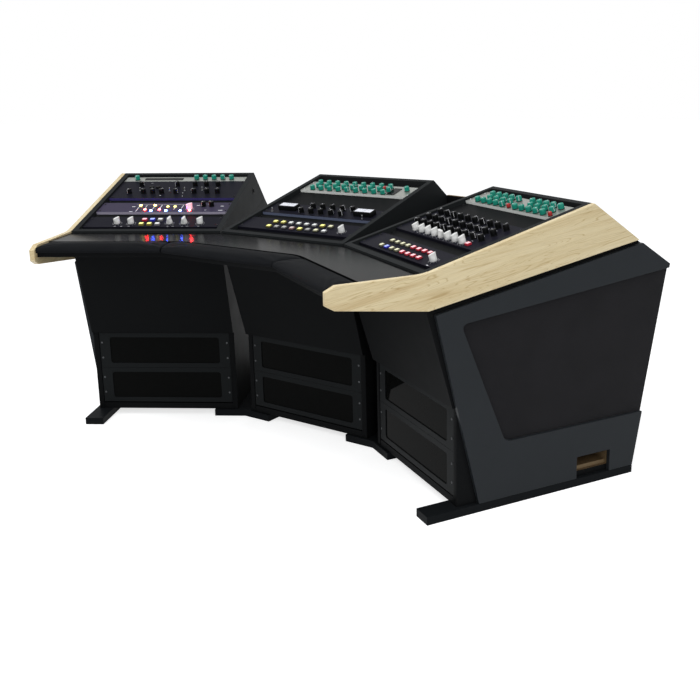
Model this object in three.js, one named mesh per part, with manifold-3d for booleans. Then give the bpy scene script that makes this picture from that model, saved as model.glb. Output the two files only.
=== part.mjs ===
// A studio desk for two hands and three racks. Three bays stand in an arc round the player. Each has
// a sloped rack box on a cabinet, with rack equipment screwed into the slope and two glazed panels
// below. A padded armrest and a glossy deck run along the front between two maple cheeks.
// Millimetres, +Z up, front towards -Y, origin on the floor in the middle of the footprint.

import * as THREE from 'three';
import { mergeVertices } from 'three/addons/utils/BufferGeometryUtils.js';
import Module from 'manifold-3d';

const wasm = await Module();
wasm.setup();

// Driving dimensions
const fit = 0.3; // clearance between two pieces that meet
const overrun = 1; // how far a cut runs past the faces that it opens
const seat = 1; // how far a screw or fixed control reaches into its panel
const bayAngle = THREE.MathUtils.degToRad(30); // turn from each bay to the next
const rackAngle = THREE.MathUtils.degToRad(15.2); // slope of the upper racks
const panelWidth = 482.6; // 19 inch rack panel
const rackUnit = 44.45; // height of one rack unit
const screwInset = 8.8; // from the end of a rack panel to its screws
const panelSlack = 1.7; // between a rack panel and the board beside it
const board = 18; // plywood of boxes, cabinets and armrest
const bayGap = 4; // between two neighbouring rack boxes where they meet
const rackUnitsHigh = 12; // units that fit in one sloped rack
const frontRise = 712; // floor to the front edge of the rack slope
const cabinetBase = 25; // thickness of the feet and joint plates under the cabinets
const lowerRackFront = 106.6; // bay front line to the face of the lower racks
const lowerRackRise = 51; // floor to the bottom of the lower racks

// Sizes that follow from them
const boxInside = panelWidth + 2 * panelSlack;
const boxWidth = boxInside + 2 * board;
const bayPitch = boxWidth + bayGap;
const slopeLength = 2 * board + rackUnitsHigh * rackUnit;

// Outline of the desk seen from the side, as [distance behind the bay front line, height]
const slopeEnd = [slopeLength * Math.cos(rackAngle), frontRise + slopeLength * Math.sin(rackAngle)];
const backShoulder = [721.5, 742]; // where the cheek ends on the back slope
const backCorner = [848.9, 657.7]; // furthest point of the back
const backFoot = [733.8, cabinetBase + fit];
const cheekKnee = [11.8, 611.7]; // lower corner of the cheek, where the rack box meets the cabinet
const kneeTop = [-4, 663]; // front face of the slanted knee panel, upper and lower end
const kneeBottom = [92, 322];

// Surface finishes: colour, roughness, metalness
const finishes = {
  blackBoard: new THREE.MeshStandardMaterial({ color: 0x1c1e20, roughness: 0.55, metalness: 0 }),
  glossBoard: new THREE.MeshStandardMaterial({ color: 0x0c0d0e, roughness: 0.08, metalness: 0 }),
  maple: new THREE.MeshStandardMaterial({ color: 0xdecda5, roughness: 0.45, metalness: 0 }),
  padCover: new THREE.MeshStandardMaterial({ color: 0x202224, roughness: 0.75, metalness: 0 }),
  cloth: new THREE.MeshStandardMaterial({ color: 0x1a1c1f, roughness: 0.95, metalness: 0 }),
  blackMetal: new THREE.MeshStandardMaterial({ color: 0x1d1f21, roughness: 0.5, metalness: 0.6 }),
  silverPanel: new THREE.MeshStandardMaterial({ color: 0xaaaaa0, roughness: 0.4, metalness: 0.7 }),
  navyPanel: new THREE.MeshStandardMaterial({ color: 0x232137, roughness: 0.45, metalness: 0.3 }),
  violetPanel: new THREE.MeshStandardMaterial({ color: 0x4d4862, roughness: 0.45, metalness: 0.3 }),
  whitePlastic: new THREE.MeshStandardMaterial({ color: 0xe1e1e0, roughness: 0.35, metalness: 0 }),
  lampPlastic: new THREE.MeshStandardMaterial({ color: 0xe8e0b0, roughness: 0.3, metalness: 0 }),
};

// Shapes and solids
const cornerSteps = 5; // straight steps in a rounded corner
const axisX = new THREE.Vector3(1, 0, 0);
const axisY = new THREE.Vector3(0, 1, 0);
const axisZ = new THREE.Vector3(0, 0, 1);

// A closed outline. Each corner is [a, b] or [a, b, cutBack], and a cut-back rounds the corner.
function outline(corners) {
  const shape = new THREE.Shape();
  corners.forEach(([a, b, cutBack = 0], i) => {
    const corner = new THREE.Vector2(a, b);
    const towards = ([c, d]) => new THREE.Vector2(c, d).sub(corner).setLength(cutBack).add(corner);
    const start = towards(corners.at(i - 1));
    const end = towards(corners[(i + 1) % corners.length]);
    if (i === 0) shape.moveTo(start.x, start.y);
    else shape.lineTo(start.x, start.y);
    if (cutBack > 0) shape.quadraticCurveTo(a, b, end.x, end.y);
  });
  return shape;
}

const extruded = (shape, depth) =>
  new THREE.ExtrudeGeometry(shape, { depth, bevelEnabled: false, curveSegments: cornerSteps });

// Prisms: an outline in (y, z) drawn along X, one in (x, z) along Y, and one in (x, y) along Z
function alongX(corners, from, to) {
  const turn = new THREE.Matrix4().makeBasis(axisY, axisZ, axisX);
  return extruded(outline(corners), to - from).applyMatrix4(turn).translate(from, 0, 0);
}

function alongY(corners, from, to) {
  const turn = new THREE.Matrix4().makeBasis(axisX, axisZ, axisY.clone().negate());
  return extruded(outline(corners), to - from).applyMatrix4(turn).translate(0, to, 0);
}

function alongZ(corners, from, to) {
  return extruded(outline(corners), to - from).translate(0, 0, from);
}

// A box between two opposite corners
function block([x0, y0, z0], [x1, y1, z1]) {
  return alongZ([[x0, y0], [x1, y0], [x1, y1], [x0, y1]], z0, z1);
}

// A drum that stands on z = from, tapered from one radius to another
function drum(radius, topRadius, from, to, sides) {
  const geometry = new THREE.CylinderGeometry(topRadius, radius, to - from, sides);
  return geometry.rotateX(Math.PI / 2).translate(0, 0, (from + to) / 2);
}

// Positions alone, which is all that joining and cutting need
function bare(geometry) {
  const flat = geometry.index ? geometry.toNonIndexed() : geometry;
  const plain = new THREE.BufferGeometry();
  plain.setAttribute('position', flat.getAttribute('position').clone());
  return plain;
}

function toManifold(geometry) {
  const merged = mergeVertices(bare(geometry));
  const vertProperties = new Float32Array(merged.getAttribute('position').array);
  const triVerts = new Uint32Array(merged.index.array);
  return new wasm.Manifold(new wasm.Mesh({ numProp: 3, vertProperties, triVerts }));
}

function fromManifold(solid) {
  const mesh = solid.getMesh();
  const geometry = new THREE.BufferGeometry();
  geometry.setAttribute('position', new THREE.BufferAttribute(mesh.vertProperties, 3));
  geometry.setIndex(new THREE.BufferAttribute(mesh.triVerts, 1));
  return geometry.toNonIndexed();
}

const joined = (...solids) => fromManifold(solids.map(toManifold).reduce((a, b) => a.add(b)));

const cutBy = (solid, tools) =>
  fromManifold(tools.map(toManifold).reduce((rest, tool) => rest.subtract(tool), toManifold(solid)));

function piece(name, geometry, finish) {
  const plain = bare(geometry);
  plain.computeVertexNormals();
  const mesh = new THREE.Mesh(plain, finish.clone());
  mesh.name = name;
  return mesh;
}

// Each bay has its own frame: x along its front from 0 to bayPitch, y backwards, z up. The bays meet
// at the two joints. The depth of the footprint sets where the origin lies between front and back.
const cheekThickness = 17;
const cheekTipReach = 278.6; // bay front line to the tip of the cheek
const outerFace = bayGap / 2 - fit - cheekThickness; // outer face of the left cheek, along the bay
const jointX = bayPitch / 2;
const tipY = (outerFace - bayPitch) * Math.sin(bayAngle) - cheekTipReach * Math.cos(bayAngle);
const middleY = (tipY + backCorner[0]) / 2;

function bayFrame(x, y, turn) {
  const frame = new THREE.Group();
  frame.position.set(x, y - middleY, 0);
  frame.rotation.z = turn;
  frame.updateMatrix();
  return frame;
}

const bays = {
  left: bayFrame(
    -jointX - bayPitch * Math.cos(bayAngle), -bayPitch * Math.sin(bayAngle), bayAngle),
  centre: bayFrame(-jointX, 0, 0),
  right: bayFrame(jointX, 0, -bayAngle),
};

// The sloped rack of a bay: x as in the bay, y up the slope, z = 0 on the top edges of the walls
const slopeFrames = {};
for (const [side, bay] of Object.entries(bays)) {
  const slope = new THREE.Group();
  slope.position.z = frontRise;
  slope.rotation.x = rackAngle;
  slope.updateMatrix();
  bay.add(slope);
  slopeFrames[side] = slope;
}

// The right bay mirrors the left one, so a place given for the left is read from the other end
const mirrored = (side, x) => (side === 'right' ? bayPitch - x : x);

function spanX(side, x0, x1) {
  const ends = [mirrored(side, x0), mirrored(side, x1)];
  return [Math.min(...ends), Math.max(...ends)];
}

// A point of a bay in the desk's own plan
function planPoint(side, x, y) {
  const point = new THREE.Vector3(x, y, 0).applyMatrix4(bays[side].matrix);
  return [point.x, point.y];
}

// A point on the slope as [distance behind the bay front line, height]
function slopePoint(along, above) {
  return [
    along * Math.cos(rackAngle) - above * Math.sin(rackAngle),
    frontRise + along * Math.sin(rackAngle) + above * Math.cos(rackAngle),
  ];
}

const boxLeft = bayGap / 2;
const boxRight = boxLeft + boxWidth;

// The height of the line on which the rack box stands on the cabinet, at a distance from the front
function boxFootHeight(y) {
  const share = (y - cheekKnee[0]) / (backShoulder[0] - cheekKnee[0]);
  return cheekKnee[1] + share * (backShoulder[1] - cheekKnee[1]);
}

// The knee panel is slanted; behind it the walls of box and cabinet follow its back face
const kneeThickness = 12;
const kneeSlant = Math.atan2(kneeBottom[0] - kneeTop[0], kneeTop[1] - kneeBottom[1]);
const kneeDepth = kneeThickness / Math.cos(kneeSlant); // level distance through the panel
const kneeBack = (z) => kneeTop[0] + kneeDepth + (kneeTop[1] - z) * Math.tan(kneeSlant);

// Where the back face of the knee panel meets the line between box and cabinet
function kneeCorner() {
  const rise = (boxFootHeight(backShoulder[0]) - boxFootHeight(0)) / backShoulder[0];
  const y = kneeBack(boxFootHeight(0)) / (1 + rise * Math.tan(kneeSlant));
  return [y, boxFootHeight(y)];
}

// A board of the back slope, from the upper point to the lower one, as thick as the plywood
function backBoard([y0, z0], [y1, z1]) {
  const length = Math.hypot(y1 - y0, z1 - z0);
  const inY = (z1 - z0) / length * board;
  const inZ = (y0 - y1) / length * board;
  return [[y0, z0], [y1, z1], [y1 + inY, z1 + inZ], [y0 + inY, z0 + inZ]];
}

// Rack boxes: two side walls, a front board, a rear rail and the upper board of the back. The left
// box has a cable hole in the wall beside the centre bay.
const cableHole = [525, 790]; // distance behind the bay front line, height
const cableHoleRadius = 9.5;
const cableHoleSides = 16;

function rackBox(side) {
  const foot = kneeCorner();
  const lip = kneeTop[1] + fit;
  const wall = [[foot[0] + fit, foot[1]], [kneeBack(lip) + fit, lip], [0, lip], [0, frontRise],
    slopeEnd, backShoulder];
  const front = [[0, lip], [0, frontRise], [board, frontRise + board * Math.tan(rackAngle)],
    [board, lip]];
  const railStart = slopeLength - board;
  const fall = Math.atan2(slopeEnd[1] - backShoulder[1], backShoulder[0] - slopeEnd[0]);
  const footRise = Math.atan2(backShoulder[1] - cheekKnee[1], backShoulder[0] - cheekKnee[0]);
  const backInner = backShoulder[0] - board / Math.sin(fall + footRise) * Math.cos(footRise);
  const rear = [slopePoint(railStart, 0), slopeEnd, backShoulder,
    [backInner, boxFootHeight(backInner)], slopePoint(railStart, -board)];
  const box = joined(
    alongX(wall, boxLeft, boxLeft + board),
    alongX(wall, boxRight - board, boxRight),
    alongX(front, boxLeft, boxRight),
    alongX(rear, boxLeft, boxRight));
  const hole = drum(cableHoleRadius, cableHoleRadius, -board - overrun, overrun, cableHoleSides)
    .rotateY(Math.PI / 2).translate(boxRight, ...cableHole);
  const geometry = side === 'left' ? cutBy(box, [hole]) : box;
  bays[side].add(piece(`rack_box_${side}`, geometry, finishes.blackBoard));
}

// Cable notch low in the outer side, through the skin and the side plate
const notchFront = 517;
const notchBack = 642;
const notchTop = 95;

// Cable port: a raw plywood ledge and stop inside the notch, on the cabinet floor
const portReach = 40; // from the side plate into the cabinet
const portLedge = 12;

// Cabinets: two side plates, a knee panel, a plinth, a floor, a front rail and a back in two boards
const plinthTop = 47;
const plateFront = 105; // bay front line to the upright front edge of a side plate
const railDepth = 60;
const rearSlant = (backCorner[0] - backFoot[0]) / (backCorner[1] - backFoot[1]);

// Distance of the back edge from the bay front line at a height
const backEdge = (z) => backFoot[0] + (z - backFoot[1]) * rearSlant;

function cabinet(side) {
  const top = (y) => boxFootHeight(y) - fit;
  const corner = kneeCorner();
  const shoulder = [backShoulder[0], top(backShoulder[0])];
  const base = backFoot[1];
  const knee = [kneeTop, kneeBottom, [kneeBack(kneeBottom[1]), kneeBottom[1]],
    [kneeBack(kneeTop[1]), kneeTop[1]]];
  const plate = [[corner[0], top(corner[0])], shoulder, backCorner, backFoot, [plateFront, base],
    [plateFront, kneeBottom[1]], [kneeBack(kneeBottom[1]), kneeBottom[1]]];
  const rail = [[corner[0], top(corner[0])], [corner[0] + railDepth, top(corner[0] + railDepth)],
    [corner[0] + railDepth, top(corner[0] + railDepth) - board],
    [kneeBack(top(corner[0]) - board), top(corner[0]) - board]];
  const plinth = [[lowerRackFront, base], [lowerRackFront + board, base],
    [lowerRackFront + board, plinthTop], [lowerRackFront, plinthTop]];
  const floorTop = base + board;
  const floor = [[lowerRackFront, base], backFoot, [backEdge(floorTop), floorTop],
    [lowerRackFront, floorTop]];
  const rearThrough = board * Math.hypot(rearSlant, 1);
  const rear = [backFoot, backCorner, [backCorner[0] - rearThrough, backCorner[1]],
    [backFoot[0] - rearThrough, backFoot[1]]];
  const solid = joined(
    alongX(plate, boxLeft, boxLeft + board),
    alongX(plate, boxRight - board, boxRight),
    ...[knee, rail, plinth, floor, rear, backBoard(shoulder, backCorner)]
      .map((profile) => alongX(profile, boxLeft, boxRight)));
  const geometry = side === 'centre' ? solid : withCablePort(side, solid);
  bays[side].add(piece(`cabinet_${side}`, geometry, finishes.blackBoard));
}

// The outer side plate is cut for the notch, and the port stands behind the cut
function withCablePort(side, solid) {
  const floorTop = backFoot[1] + board;
  const wallEnd = boxLeft + board;
  const [cutFrom, cutTo] = spanX(side, boxLeft - overrun, wallEnd + overrun);
  const notch = block([cutFrom, notchFront, floorTop], [cutTo, notchBack, notchTop]);
  const [from, to] = spanX(side, wallEnd - board / 2, wallEnd + portReach);
  const ledge = block([from, notchFront, floorTop], [to, notchBack, floorTop + portLedge]);
  const stop = block([from, notchBack, floorTop], [to, notchBack + board, notchTop]);
  return joined(cutBy(solid, [notch]), ledge, stop);
}

// Lower racks: two glazed panels in each bay, with their panes behind them
const panelUnits = 3;
const panelThickness = 3;
const windowMargin = 38.3; // from the end of a panel to its window
const windowSill = 17.375; // from the top and bottom of a panel to its window
const windowCorner = 8;
const paneThickness = 4;
const paneLap = 6; // how far a pane reaches past the window on each side
const panelHeight = panelUnits * rackUnit - 2 * fit;
const windowWidth = panelWidth - 2 * windowMargin;
const windowHeight = panelHeight - 2 * windowSill;
const bayMiddle = bayPitch / 2;
const lowerPanelBases = [0, 1].map((row) => lowerRackRise + row * panelUnits * rackUnit + fit);

function centredRectangle(width, height, middleZ, cutBack) {
  const [left, right] = [bayMiddle - width / 2, bayMiddle + width / 2];
  const [low, high] = [middleZ - height / 2, middleZ + height / 2];
  return [[left, low, cutBack], [right, low, cutBack], [right, high, cutBack], [left, high, cutBack]];
}

// Rack rails are angle strips along the two walls: an arm under the ends of the panels, a flange
// down the wall. The profile gives [x, level], with the arm's face at level 0 and the rest below.
const railWidth = 16;
const railThickness = 2;
const railFlange = 28;

function railProfile(hand) {
  const wall = hand < 0 ? boxLeft + board + fit : boxRight - board - fit;
  const points = [[0, 0], [railWidth, 0], [railWidth, -railThickness],
    [railThickness, -railThickness], [railThickness, -railFlange], [0, -railFlange]];
  return points.map(([reach, level]) => [wall - hand * reach, level]);
}

// Screws sit in the two end columns of every rack panel
const screwRadius = 4;
const screwHead = 2.2;
const screwSides = 6;
const windowScrewInset = 37.5; // from the top and bottom of a glazed panel
const panelScrewInset = 15; // from the top and bottom of any other panel
const screwReach = panelWidth / 2 - screwInset;
const screwColumns = [bayMiddle - screwReach, bayMiddle + screwReach];

function screwsOnFace(low, height, inset, face) {
  const head = drum(screwRadius, screwRadius, face - seat, face + screwHead, screwSides);
  return [low + inset, low + height - inset]
    .flatMap((y) => screwColumns.map((x) => head.clone().translate(x, y, 0)));
}

// One set for each bay: two rails, and on them two framed windows with their panes and screws.
// It is drawn lying down, with its face up at z = 0, and then turned upright.
function glazedPanels(side) {
  const face = 0;
  const behind = face - panelThickness;
  const solids = lowerPanelBases.flatMap((base) => {
    const middle = base + panelHeight / 2;
    const frame = outline(centredRectangle(panelWidth, panelHeight, middle, 0));
    frame.holes.push(outline(centredRectangle(windowWidth, windowHeight, middle, windowCorner)));
    const pane = centredRectangle(windowWidth + 2 * paneLap, windowHeight + 2 * paneLap, middle, 0);
    return [
      extruded(frame, panelThickness).translate(0, 0, behind),
      alongZ(pane, behind - paneThickness, behind),
      ...screwsOnFace(base, panelHeight, windowScrewInset, face),
    ];
  });
  const low = lowerPanelBases[0];
  const high = lowerPanelBases[1] + panelHeight;
  for (const hand of [-1, 1]) {
    const profile = railProfile(hand).map(([x, level]) => [x, behind + level]);
    solids.push(alongY(profile, low, high));
  }
  const geometry = joined(...solids).rotateX(Math.PI / 2).translate(0, lowerRackFront, 0);
  bays[side].add(piece(`glazed_panels_${side}`, geometry, finishes.blackMetal));
}

// Deck and armrest: a glossy deck between pad and racks, on boards that also carry the pad
const deckStep = 6; // from the front edge of the rack slope down to the deck
const deckTop = frontRise - deckStep;
const sideReach = 278.6; // bay front line to the front of the pad, outer bays
const centreReach = 302; // the same in the centre bay
const sidePadDepth = 103.6; // back to front of the pad, outer bays
const centrePadDepth = 112;
const sideDeckDepth = sideReach - sidePadDepth;
const centreDeckDepth = centreReach - centrePadDepth;
const padBend = 35; // how far the rounded bend of the pad's back edge is cut back
const padWrap = 17; // how far the pad wraps forward of its board
const jointGap = 0.8; // between two boards or pads at a joint of the bays

// Where two lines meet that run along the left and the centre bay, each so far in front of its bay
function bendPoint(sideDistance, centreDistance) {
  const along = (sideDistance - centreDistance * Math.cos(bayAngle)) / Math.sin(bayAngle);
  return [along, -centreDistance];
}

// The same bend seen from the left bay's frame
function bendFromSide(sideDistance, centreDistance) {
  const [along, across] = bendPoint(sideDistance, centreDistance);
  return [bayPitch + along * Math.cos(bayAngle) + across * Math.sin(bayAngle), -sideDistance];
}

// A line in front of the three bays, from one outer end to the other, with its two bends
function bentLine(sideDistance, centreDistance, cutBack) {
  const [x, y] = bendPoint(sideDistance, centreDistance);
  return [
    planPoint('left', boxLeft, -sideDistance),
    [...planPoint('centre', x, y), cutBack],
    [...planPoint('centre', bayPitch - x, y), cutBack],
    planPoint('right', bayPitch - boxLeft, -sideDistance),
  ];
}

function bentBoard(sideDistance, centreDistance, cutBack, from, to) {
  const back = bentLine(fit, fit, 0).reverse();
  return alongZ([...bentLine(sideDistance, centreDistance, cutBack), ...back], from, to);
}

function deckPanel() {
  const geometry = bentBoard(
    sideDeckDepth - fit, centreDeckDepth - fit, padBend, deckTop - board, deckTop);
  return piece('deck_panel', geometry, finishes.glossBoard);
}

function armrestBoard() {
  const geometry = bentBoard(sideReach - padWrap - fit, centreReach - padWrap - fit, 0,
    deckTop - 2 * board, deckTop - board - fit);
  return piece('armrest_board', geometry, finishes.blackBoard);
}

// The pad's section between its back and front edges: a crown, a rolled front and a lip under it.
// The crown share is 1 along the pad and 0 at its ends, where the cover is drawn in.
const padCrown = 5; // rise of the middle over the deck
const padDraw = 1.5; // how far the cover is drawn in at the ends
const padRoll = 14; // rounding of the front edge
const padBackRound = 6;
const padDrop = 5; // the lip under the board's top
const rollSteps = 4;
const crownSteps = 5;

function padSection(depth, crownShare) {
  const bottom = deckTop - board;
  const top = deckTop - padDraw * (1 - crownShare);
  const front = depth - padDraw * (1 - crownShare);
  const lip = bottom - padDrop;
  const flat = front - padRoll - padBackRound;
  const points = [[0, bottom], [0, top - padBackRound]];
  for (let i = 0; i <= crownSteps; i += 1) {
    const share = i / crownSteps;
    const rise = padCrown * crownShare * Math.sin(share * Math.PI);
    points.push([padBackRound + flat * share, top + rise]);
  }
  for (let i = 1; i <= rollSteps; i += 1) {
    const turn = (i / rollSteps) * Math.PI / 2;
    points.push([front - padRoll + padRoll * Math.sin(turn), top - padRoll + padRoll * Math.cos(turn)]);
  }
  points.push([front, lip + padBackRound], [front - padBackRound, lip]);
  points.push([depth - padWrap, lip], [depth - padWrap, bottom]);
  return points;
}

// A solid through upright sections, each between a back and a front point in plan
function loft(stations) {
  const rings = stations.map(({ back, front, crownShare }) => {
    const depth = Math.hypot(front[0] - back[0], front[1] - back[1]);
    const across = [(front[0] - back[0]) / depth, (front[1] - back[1]) / depth];
    return padSection(depth, crownShare)
      .map(([d, z]) => [back[0] + across[0] * d, back[1] + across[1] * d, z]);
  });
  const positions = [];
  const triangle = (...corners) => positions.push(...corners.flat());
  for (let i = 0; i + 1 < rings.length; i += 1) {
    rings[i].forEach((corner, j) => {
      const k = (j + 1) % rings[i].length;
      triangle(corner, rings[i][k], rings[i + 1][k]);
      triangle(corner, rings[i + 1][k], rings[i + 1][j]);
    });
  }
  // Each end is a fan round a point above the lip, from where the whole section is in sight
  [stations[0], stations.at(-1)].forEach(({ back, front }, end) => {
    const hub = [...towards(front, back, padWrap / 2), deckTop - board / 2];
    const ring = end ? rings.at(-1) : rings[0];
    ring.forEach((corner, j) => {
      const next = ring[(j + 1) % ring.length];
      triangle(hub, ...(end ? [corner, next] : [next, corner]));
    });
  });
  const geometry = new THREE.BufferGeometry();
  geometry.setAttribute('position', new THREE.Float32BufferAttribute(positions, 3));
  return geometry;
}

const between = (from, to, share) => from.map((value, i) => value + (to[i] - value) * share);

function towards(from, to, length) {
  return between(from, to, length / Math.hypot(to[0] - from[0], to[1] - from[1]));
}

// Stations between two ends given as [back, front], with the cover drawn in over the end length
const drawnLength = 30;
const drawnShares = [0, 0.25, 1];

function padStations(backs, frontOf) {
  const length = Math.hypot(backs.at(-1)[0] - backs[0][0], backs.at(-1)[1] - backs[0][1]);
  return backs.map((back) => {
    const fromEnd = Math.min(...[backs[0], backs.at(-1)]
      .map((end) => Math.hypot(back[0] - end[0], back[1] - end[1])));
    const crownShare = Math.sin(Math.min(1, fromEnd / drawnLength) * Math.PI / 2);
    const along = Math.hypot(back[0] - backs[0][0], back[1] - backs[0][1]) / length;
    return { back, front: frontOf(along), crownShare };
  });
}

// Back points near both ends, and whatever lies between them
function withDrawnEnds(first, last, middle = []) {
  const lengths = drawnShares.map((share) => share * drawnLength);
  const start = lengths.map((length) => towards(first, middle[0] ?? last, length));
  const end = lengths.map((length) => towards(last, middle.at(-1) ?? first, length));
  return [...start, ...middle, ...end.reverse()];
}

// The ends of the outer pads: at the cheek, and at the seam square to the bay's front
function padEnds(side) {
  const [seamX] = bendFromSide(sideReach, centreReach);
  return [boxLeft, seamX - jointGap / 2].map((x) =>
    [-sideDeckDepth, -sideReach].map((y) => planPoint(side, mirrored(side, x), y)));
}

function outerPad(side) {
  const ends = side === 'left' ? padEnds(side) : padEnds(side).reverse();
  const [[firstBack, firstFront], [lastBack, lastFront]] = ends;
  const backs = withDrawnEnds(firstBack, lastBack);
  const geometry = loft(padStations(backs, (share) => between(firstFront, lastFront, share)));
  return piece(`armrest_pad_${side}`, geometry, finishes.padCover);
}

// The centre pad's back edge follows both bends, rounded, and its front edge is straight
function centrePad() {
  const [seamX] = bendFromSide(sideReach, centreReach);
  const corner = (side, y) => planPoint(side, mirrored(side, seamX + jointGap / 2), y);
  const first = corner('left', -sideDeckDepth);
  const last = corner('right', -sideDeckDepth);
  const [leftBend, rightBend] = bentLine(sideDeckDepth, centreDeckDepth, 0).slice(1, 3)
    .map(([x, y]) => [x, y]);
  const round = (bend, before, after) => new THREE.QuadraticBezierCurve(
    new THREE.Vector2(...towards(bend, before, padBend)), new THREE.Vector2(...bend),
    new THREE.Vector2(...towards(bend, after, padBend)))
    .getPoints(cornerSteps).map(({ x, y }) => [x, y]);
  const middle = [...round(leftBend, first, rightBend), ...round(rightBend, leftBend, last)];
  const backs = [first, ...middle, last];
  const fronts = [corner('left', -sideReach), corner('right', -sideReach)];
  const geometry = loft(padStations(backs, (share) => between(...fronts, share)));
  return piece('armrest_pad_centre', geometry, finishes.padCover);
}

// Maple cheeks at the outer ends, from the tip beside the armrest to the back slope
const cheekTip = [[-254.7, 645.9], [-278.6, 659.9], [-278.6, 695.2], [-249.8, 709.5]];
const cheekEase = 24; // how far the bend on the top edge is eased

function cheek(side) {
  const profile = [...cheekTip, [0, frontRise, cheekEase], slopeEnd, backShoulder, cheekKnee];
  const [from, to] = spanX(side, outerFace, boxLeft - fit);
  bays[side].add(piece(`cheek_${side}`, alongX(profile, from, to), finishes.maple));
}

// Side skins under the cheeks, with a large recess that is open at the back for the vent panel
const skinThickness = 14;
const skinReveal = 17; // shadow gap under the cheek
const skinFront = [[34, 597], [171.8, backFoot[1]]];
const recessTopFront = [112, 561];
const recessBottomFront = [258, 197];
const recessTopBack = 645; // height at the back edge
const recessRound = 22;
const ventThickness = 4;

function skinProfile() {
  const slope = (backShoulder[1] - backCorner[1]) / (backCorner[0] - backShoulder[0]);
  const topBack = [backShoulder[0] + skinReveal, backShoulder[1] - slope * skinReveal];
  const lowBack = recessBottomFront[1];
  return [
    skinFront[0], topBack, backCorner, [backEdge(recessTopBack), recessTopBack],
    [...recessTopFront, recessRound], [...recessBottomFront, recessRound],
    [backEdge(lowBack), lowBack], backFoot, [notchBack, backFoot[1]], [notchBack, notchTop],
    [notchFront, notchTop], [notchFront, backFoot[1]], skinFront[1],
  ];
}

function sideSkin(side) {
  const face = boxLeft - fit;
  const geometry = alongX(skinProfile(), ...spanX(side, face - skinThickness, face));
  bays[side].add(piece(`side_skin_${side}`, geometry, finishes.blackBoard));
}

function sideVent(side) {
  const [topZ, lowZ] = [recessTopBack - fit, recessBottomFront[1] + fit];
  const profile = [
    [backEdge(topZ), topZ], [recessTopFront[0] + fit, recessTopFront[1] - fit, recessRound],
    [recessBottomFront[0] + fit, lowZ, recessRound], [backEdge(lowZ), lowZ],
  ];
  const face = boxLeft - fit;
  const geometry = alongX(profile, ...spanX(side, face - ventThickness, face));
  bays[side].add(piece(`side_vent_${side}`, geometry, finishes.cloth));
}

// Feet: a rail under each outer side and a bent plate under each joint
const footWidth = 65;
const footFront = 3;
const plateReach = 88; // each side of the joint
const plateStart = 98;

function footRail(side) {
  const outer = boxLeft - fit - skinThickness;
  const [from, to] = spanX(side, outer, outer + footWidth);
  const geometry = block([from, footFront, 0], [to, backFoot[0], cabinetBase]);
  bays[side].add(piece(`foot_rail_${side}`, geometry, finishes.blackMetal));
}

// The outer bay's edge of the plate, the bend under the joint and the centre bay's edge
function jointPlate(side) {
  const inwards = (x) => (side === 'left' ? x : bayPitch - x);
  const row = (y) => [
    planPoint(side, mirrored(side, bayPitch - plateReach), y),
    planPoint('centre', inwards(-y * Math.tan(bayAngle / 2)), y),
    planPoint('centre', inwards(plateReach), y),
  ];
  const geometry = alongZ([...row(plateStart), ...row(backFoot[0]).reverse()], 0, cabinetBase);
  return piece(`joint_plate_${side}`, geometry, finishes.blackMetal);
}

// The wedge panel closes the gap between centre and right bay, standing on the joint plate
const wedgeDistance = 640; // bay front line to the front of the panel, along a side wall
const wedgeThickness = 15;

function wedgePanel() {
  const half = bayAngle / 2;
  const slope = (slopeEnd[1] - backShoulder[1]) / (backShoulder[0] - slopeEnd[0]);
  const top = slopeEnd[1] - (wedgeDistance - slopeEnd[0]) * slope;
  const near = wedgeDistance * Math.cos(half);
  const width = (y) => y * Math.tan(half) + (bayGap / 2 - fit) / Math.cos(half);
  const far = near + wedgeThickness;
  const corners = [[-width(near), near], [width(near), near], [width(far), far], [-width(far), far]];
  const geometry = alongZ(corners, cabinetBase + fit, top)
    .rotateZ(-half).translate(jointX, -middleY, 0);
  return piece('wedge_panel', geometry, finishes.blackBoard);
}

// What each sloped rack holds, from the front edge up: blanks and equipment, heights in rack units.
// A trim strip closes what is left in front of the first panel, and another behind the last one.
const panelDrop = 15; // top edges of the walls to a blank panel
const equipmentDrop = 6; // top edges of the walls to the face of the equipment
const leastStrip = 5; // a narrower rest stays open
const racks = {
  left: {
    strip: 29.7,
    rows: [
      ['pointer_unit_left', 2, 'navyPanel'], ['', 1], ['lamp_unit_left', 2, 'violetPanel'], ['', 1],
      ['knob_unit_left', 4, 'navyPanel'], ['display_unit_left', 1, 'silverPanel'],
    ],
  },
  centre: {
    strip: 41.7,
    rows: [
      ['key_unit_centre', 2, 'navyPanel'], ['', 1], ['meter_unit_centre', 2, 'navyPanel'], ['', 3],
      ['mixer_unit_centre', 2, 'silverPanel'], ['', 1],
    ],
  },
  right: {
    strip: 25.7,
    rows: [
      ['key_unit_right', 2, 'navyPanel'], ['', 1], ['channel_unit_right', 4, 'navyPanel'], ['', 2],
      ['mixer_unit_right', 2, 'silverPanel'],
    ],
  },
};
const panelLeft = bayMiddle - panelWidth / 2;

// Every row with its place on the slope. Equipment is found again by its name.
const equipment = {};
const blanks = { left: [], centre: [], right: [] };
for (const [side, { strip, rows }] of Object.entries(racks)) {
  let low = board + fit;
  blanks[side].push({ low, height: strip - fit });
  low += strip;
  for (const [name, units, finish] of rows) {
    const height = units * rackUnit - fit;
    if (name) equipment[name] = { side, low, height, finish };
    else blanks[side].push({ low, height, screwed: true });
    low += units * rackUnit;
  }
  const rest = slopeLength - board - fit - low;
  if (rest > leastStrip) blanks[side].push({ low, height: rest });
}

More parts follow.
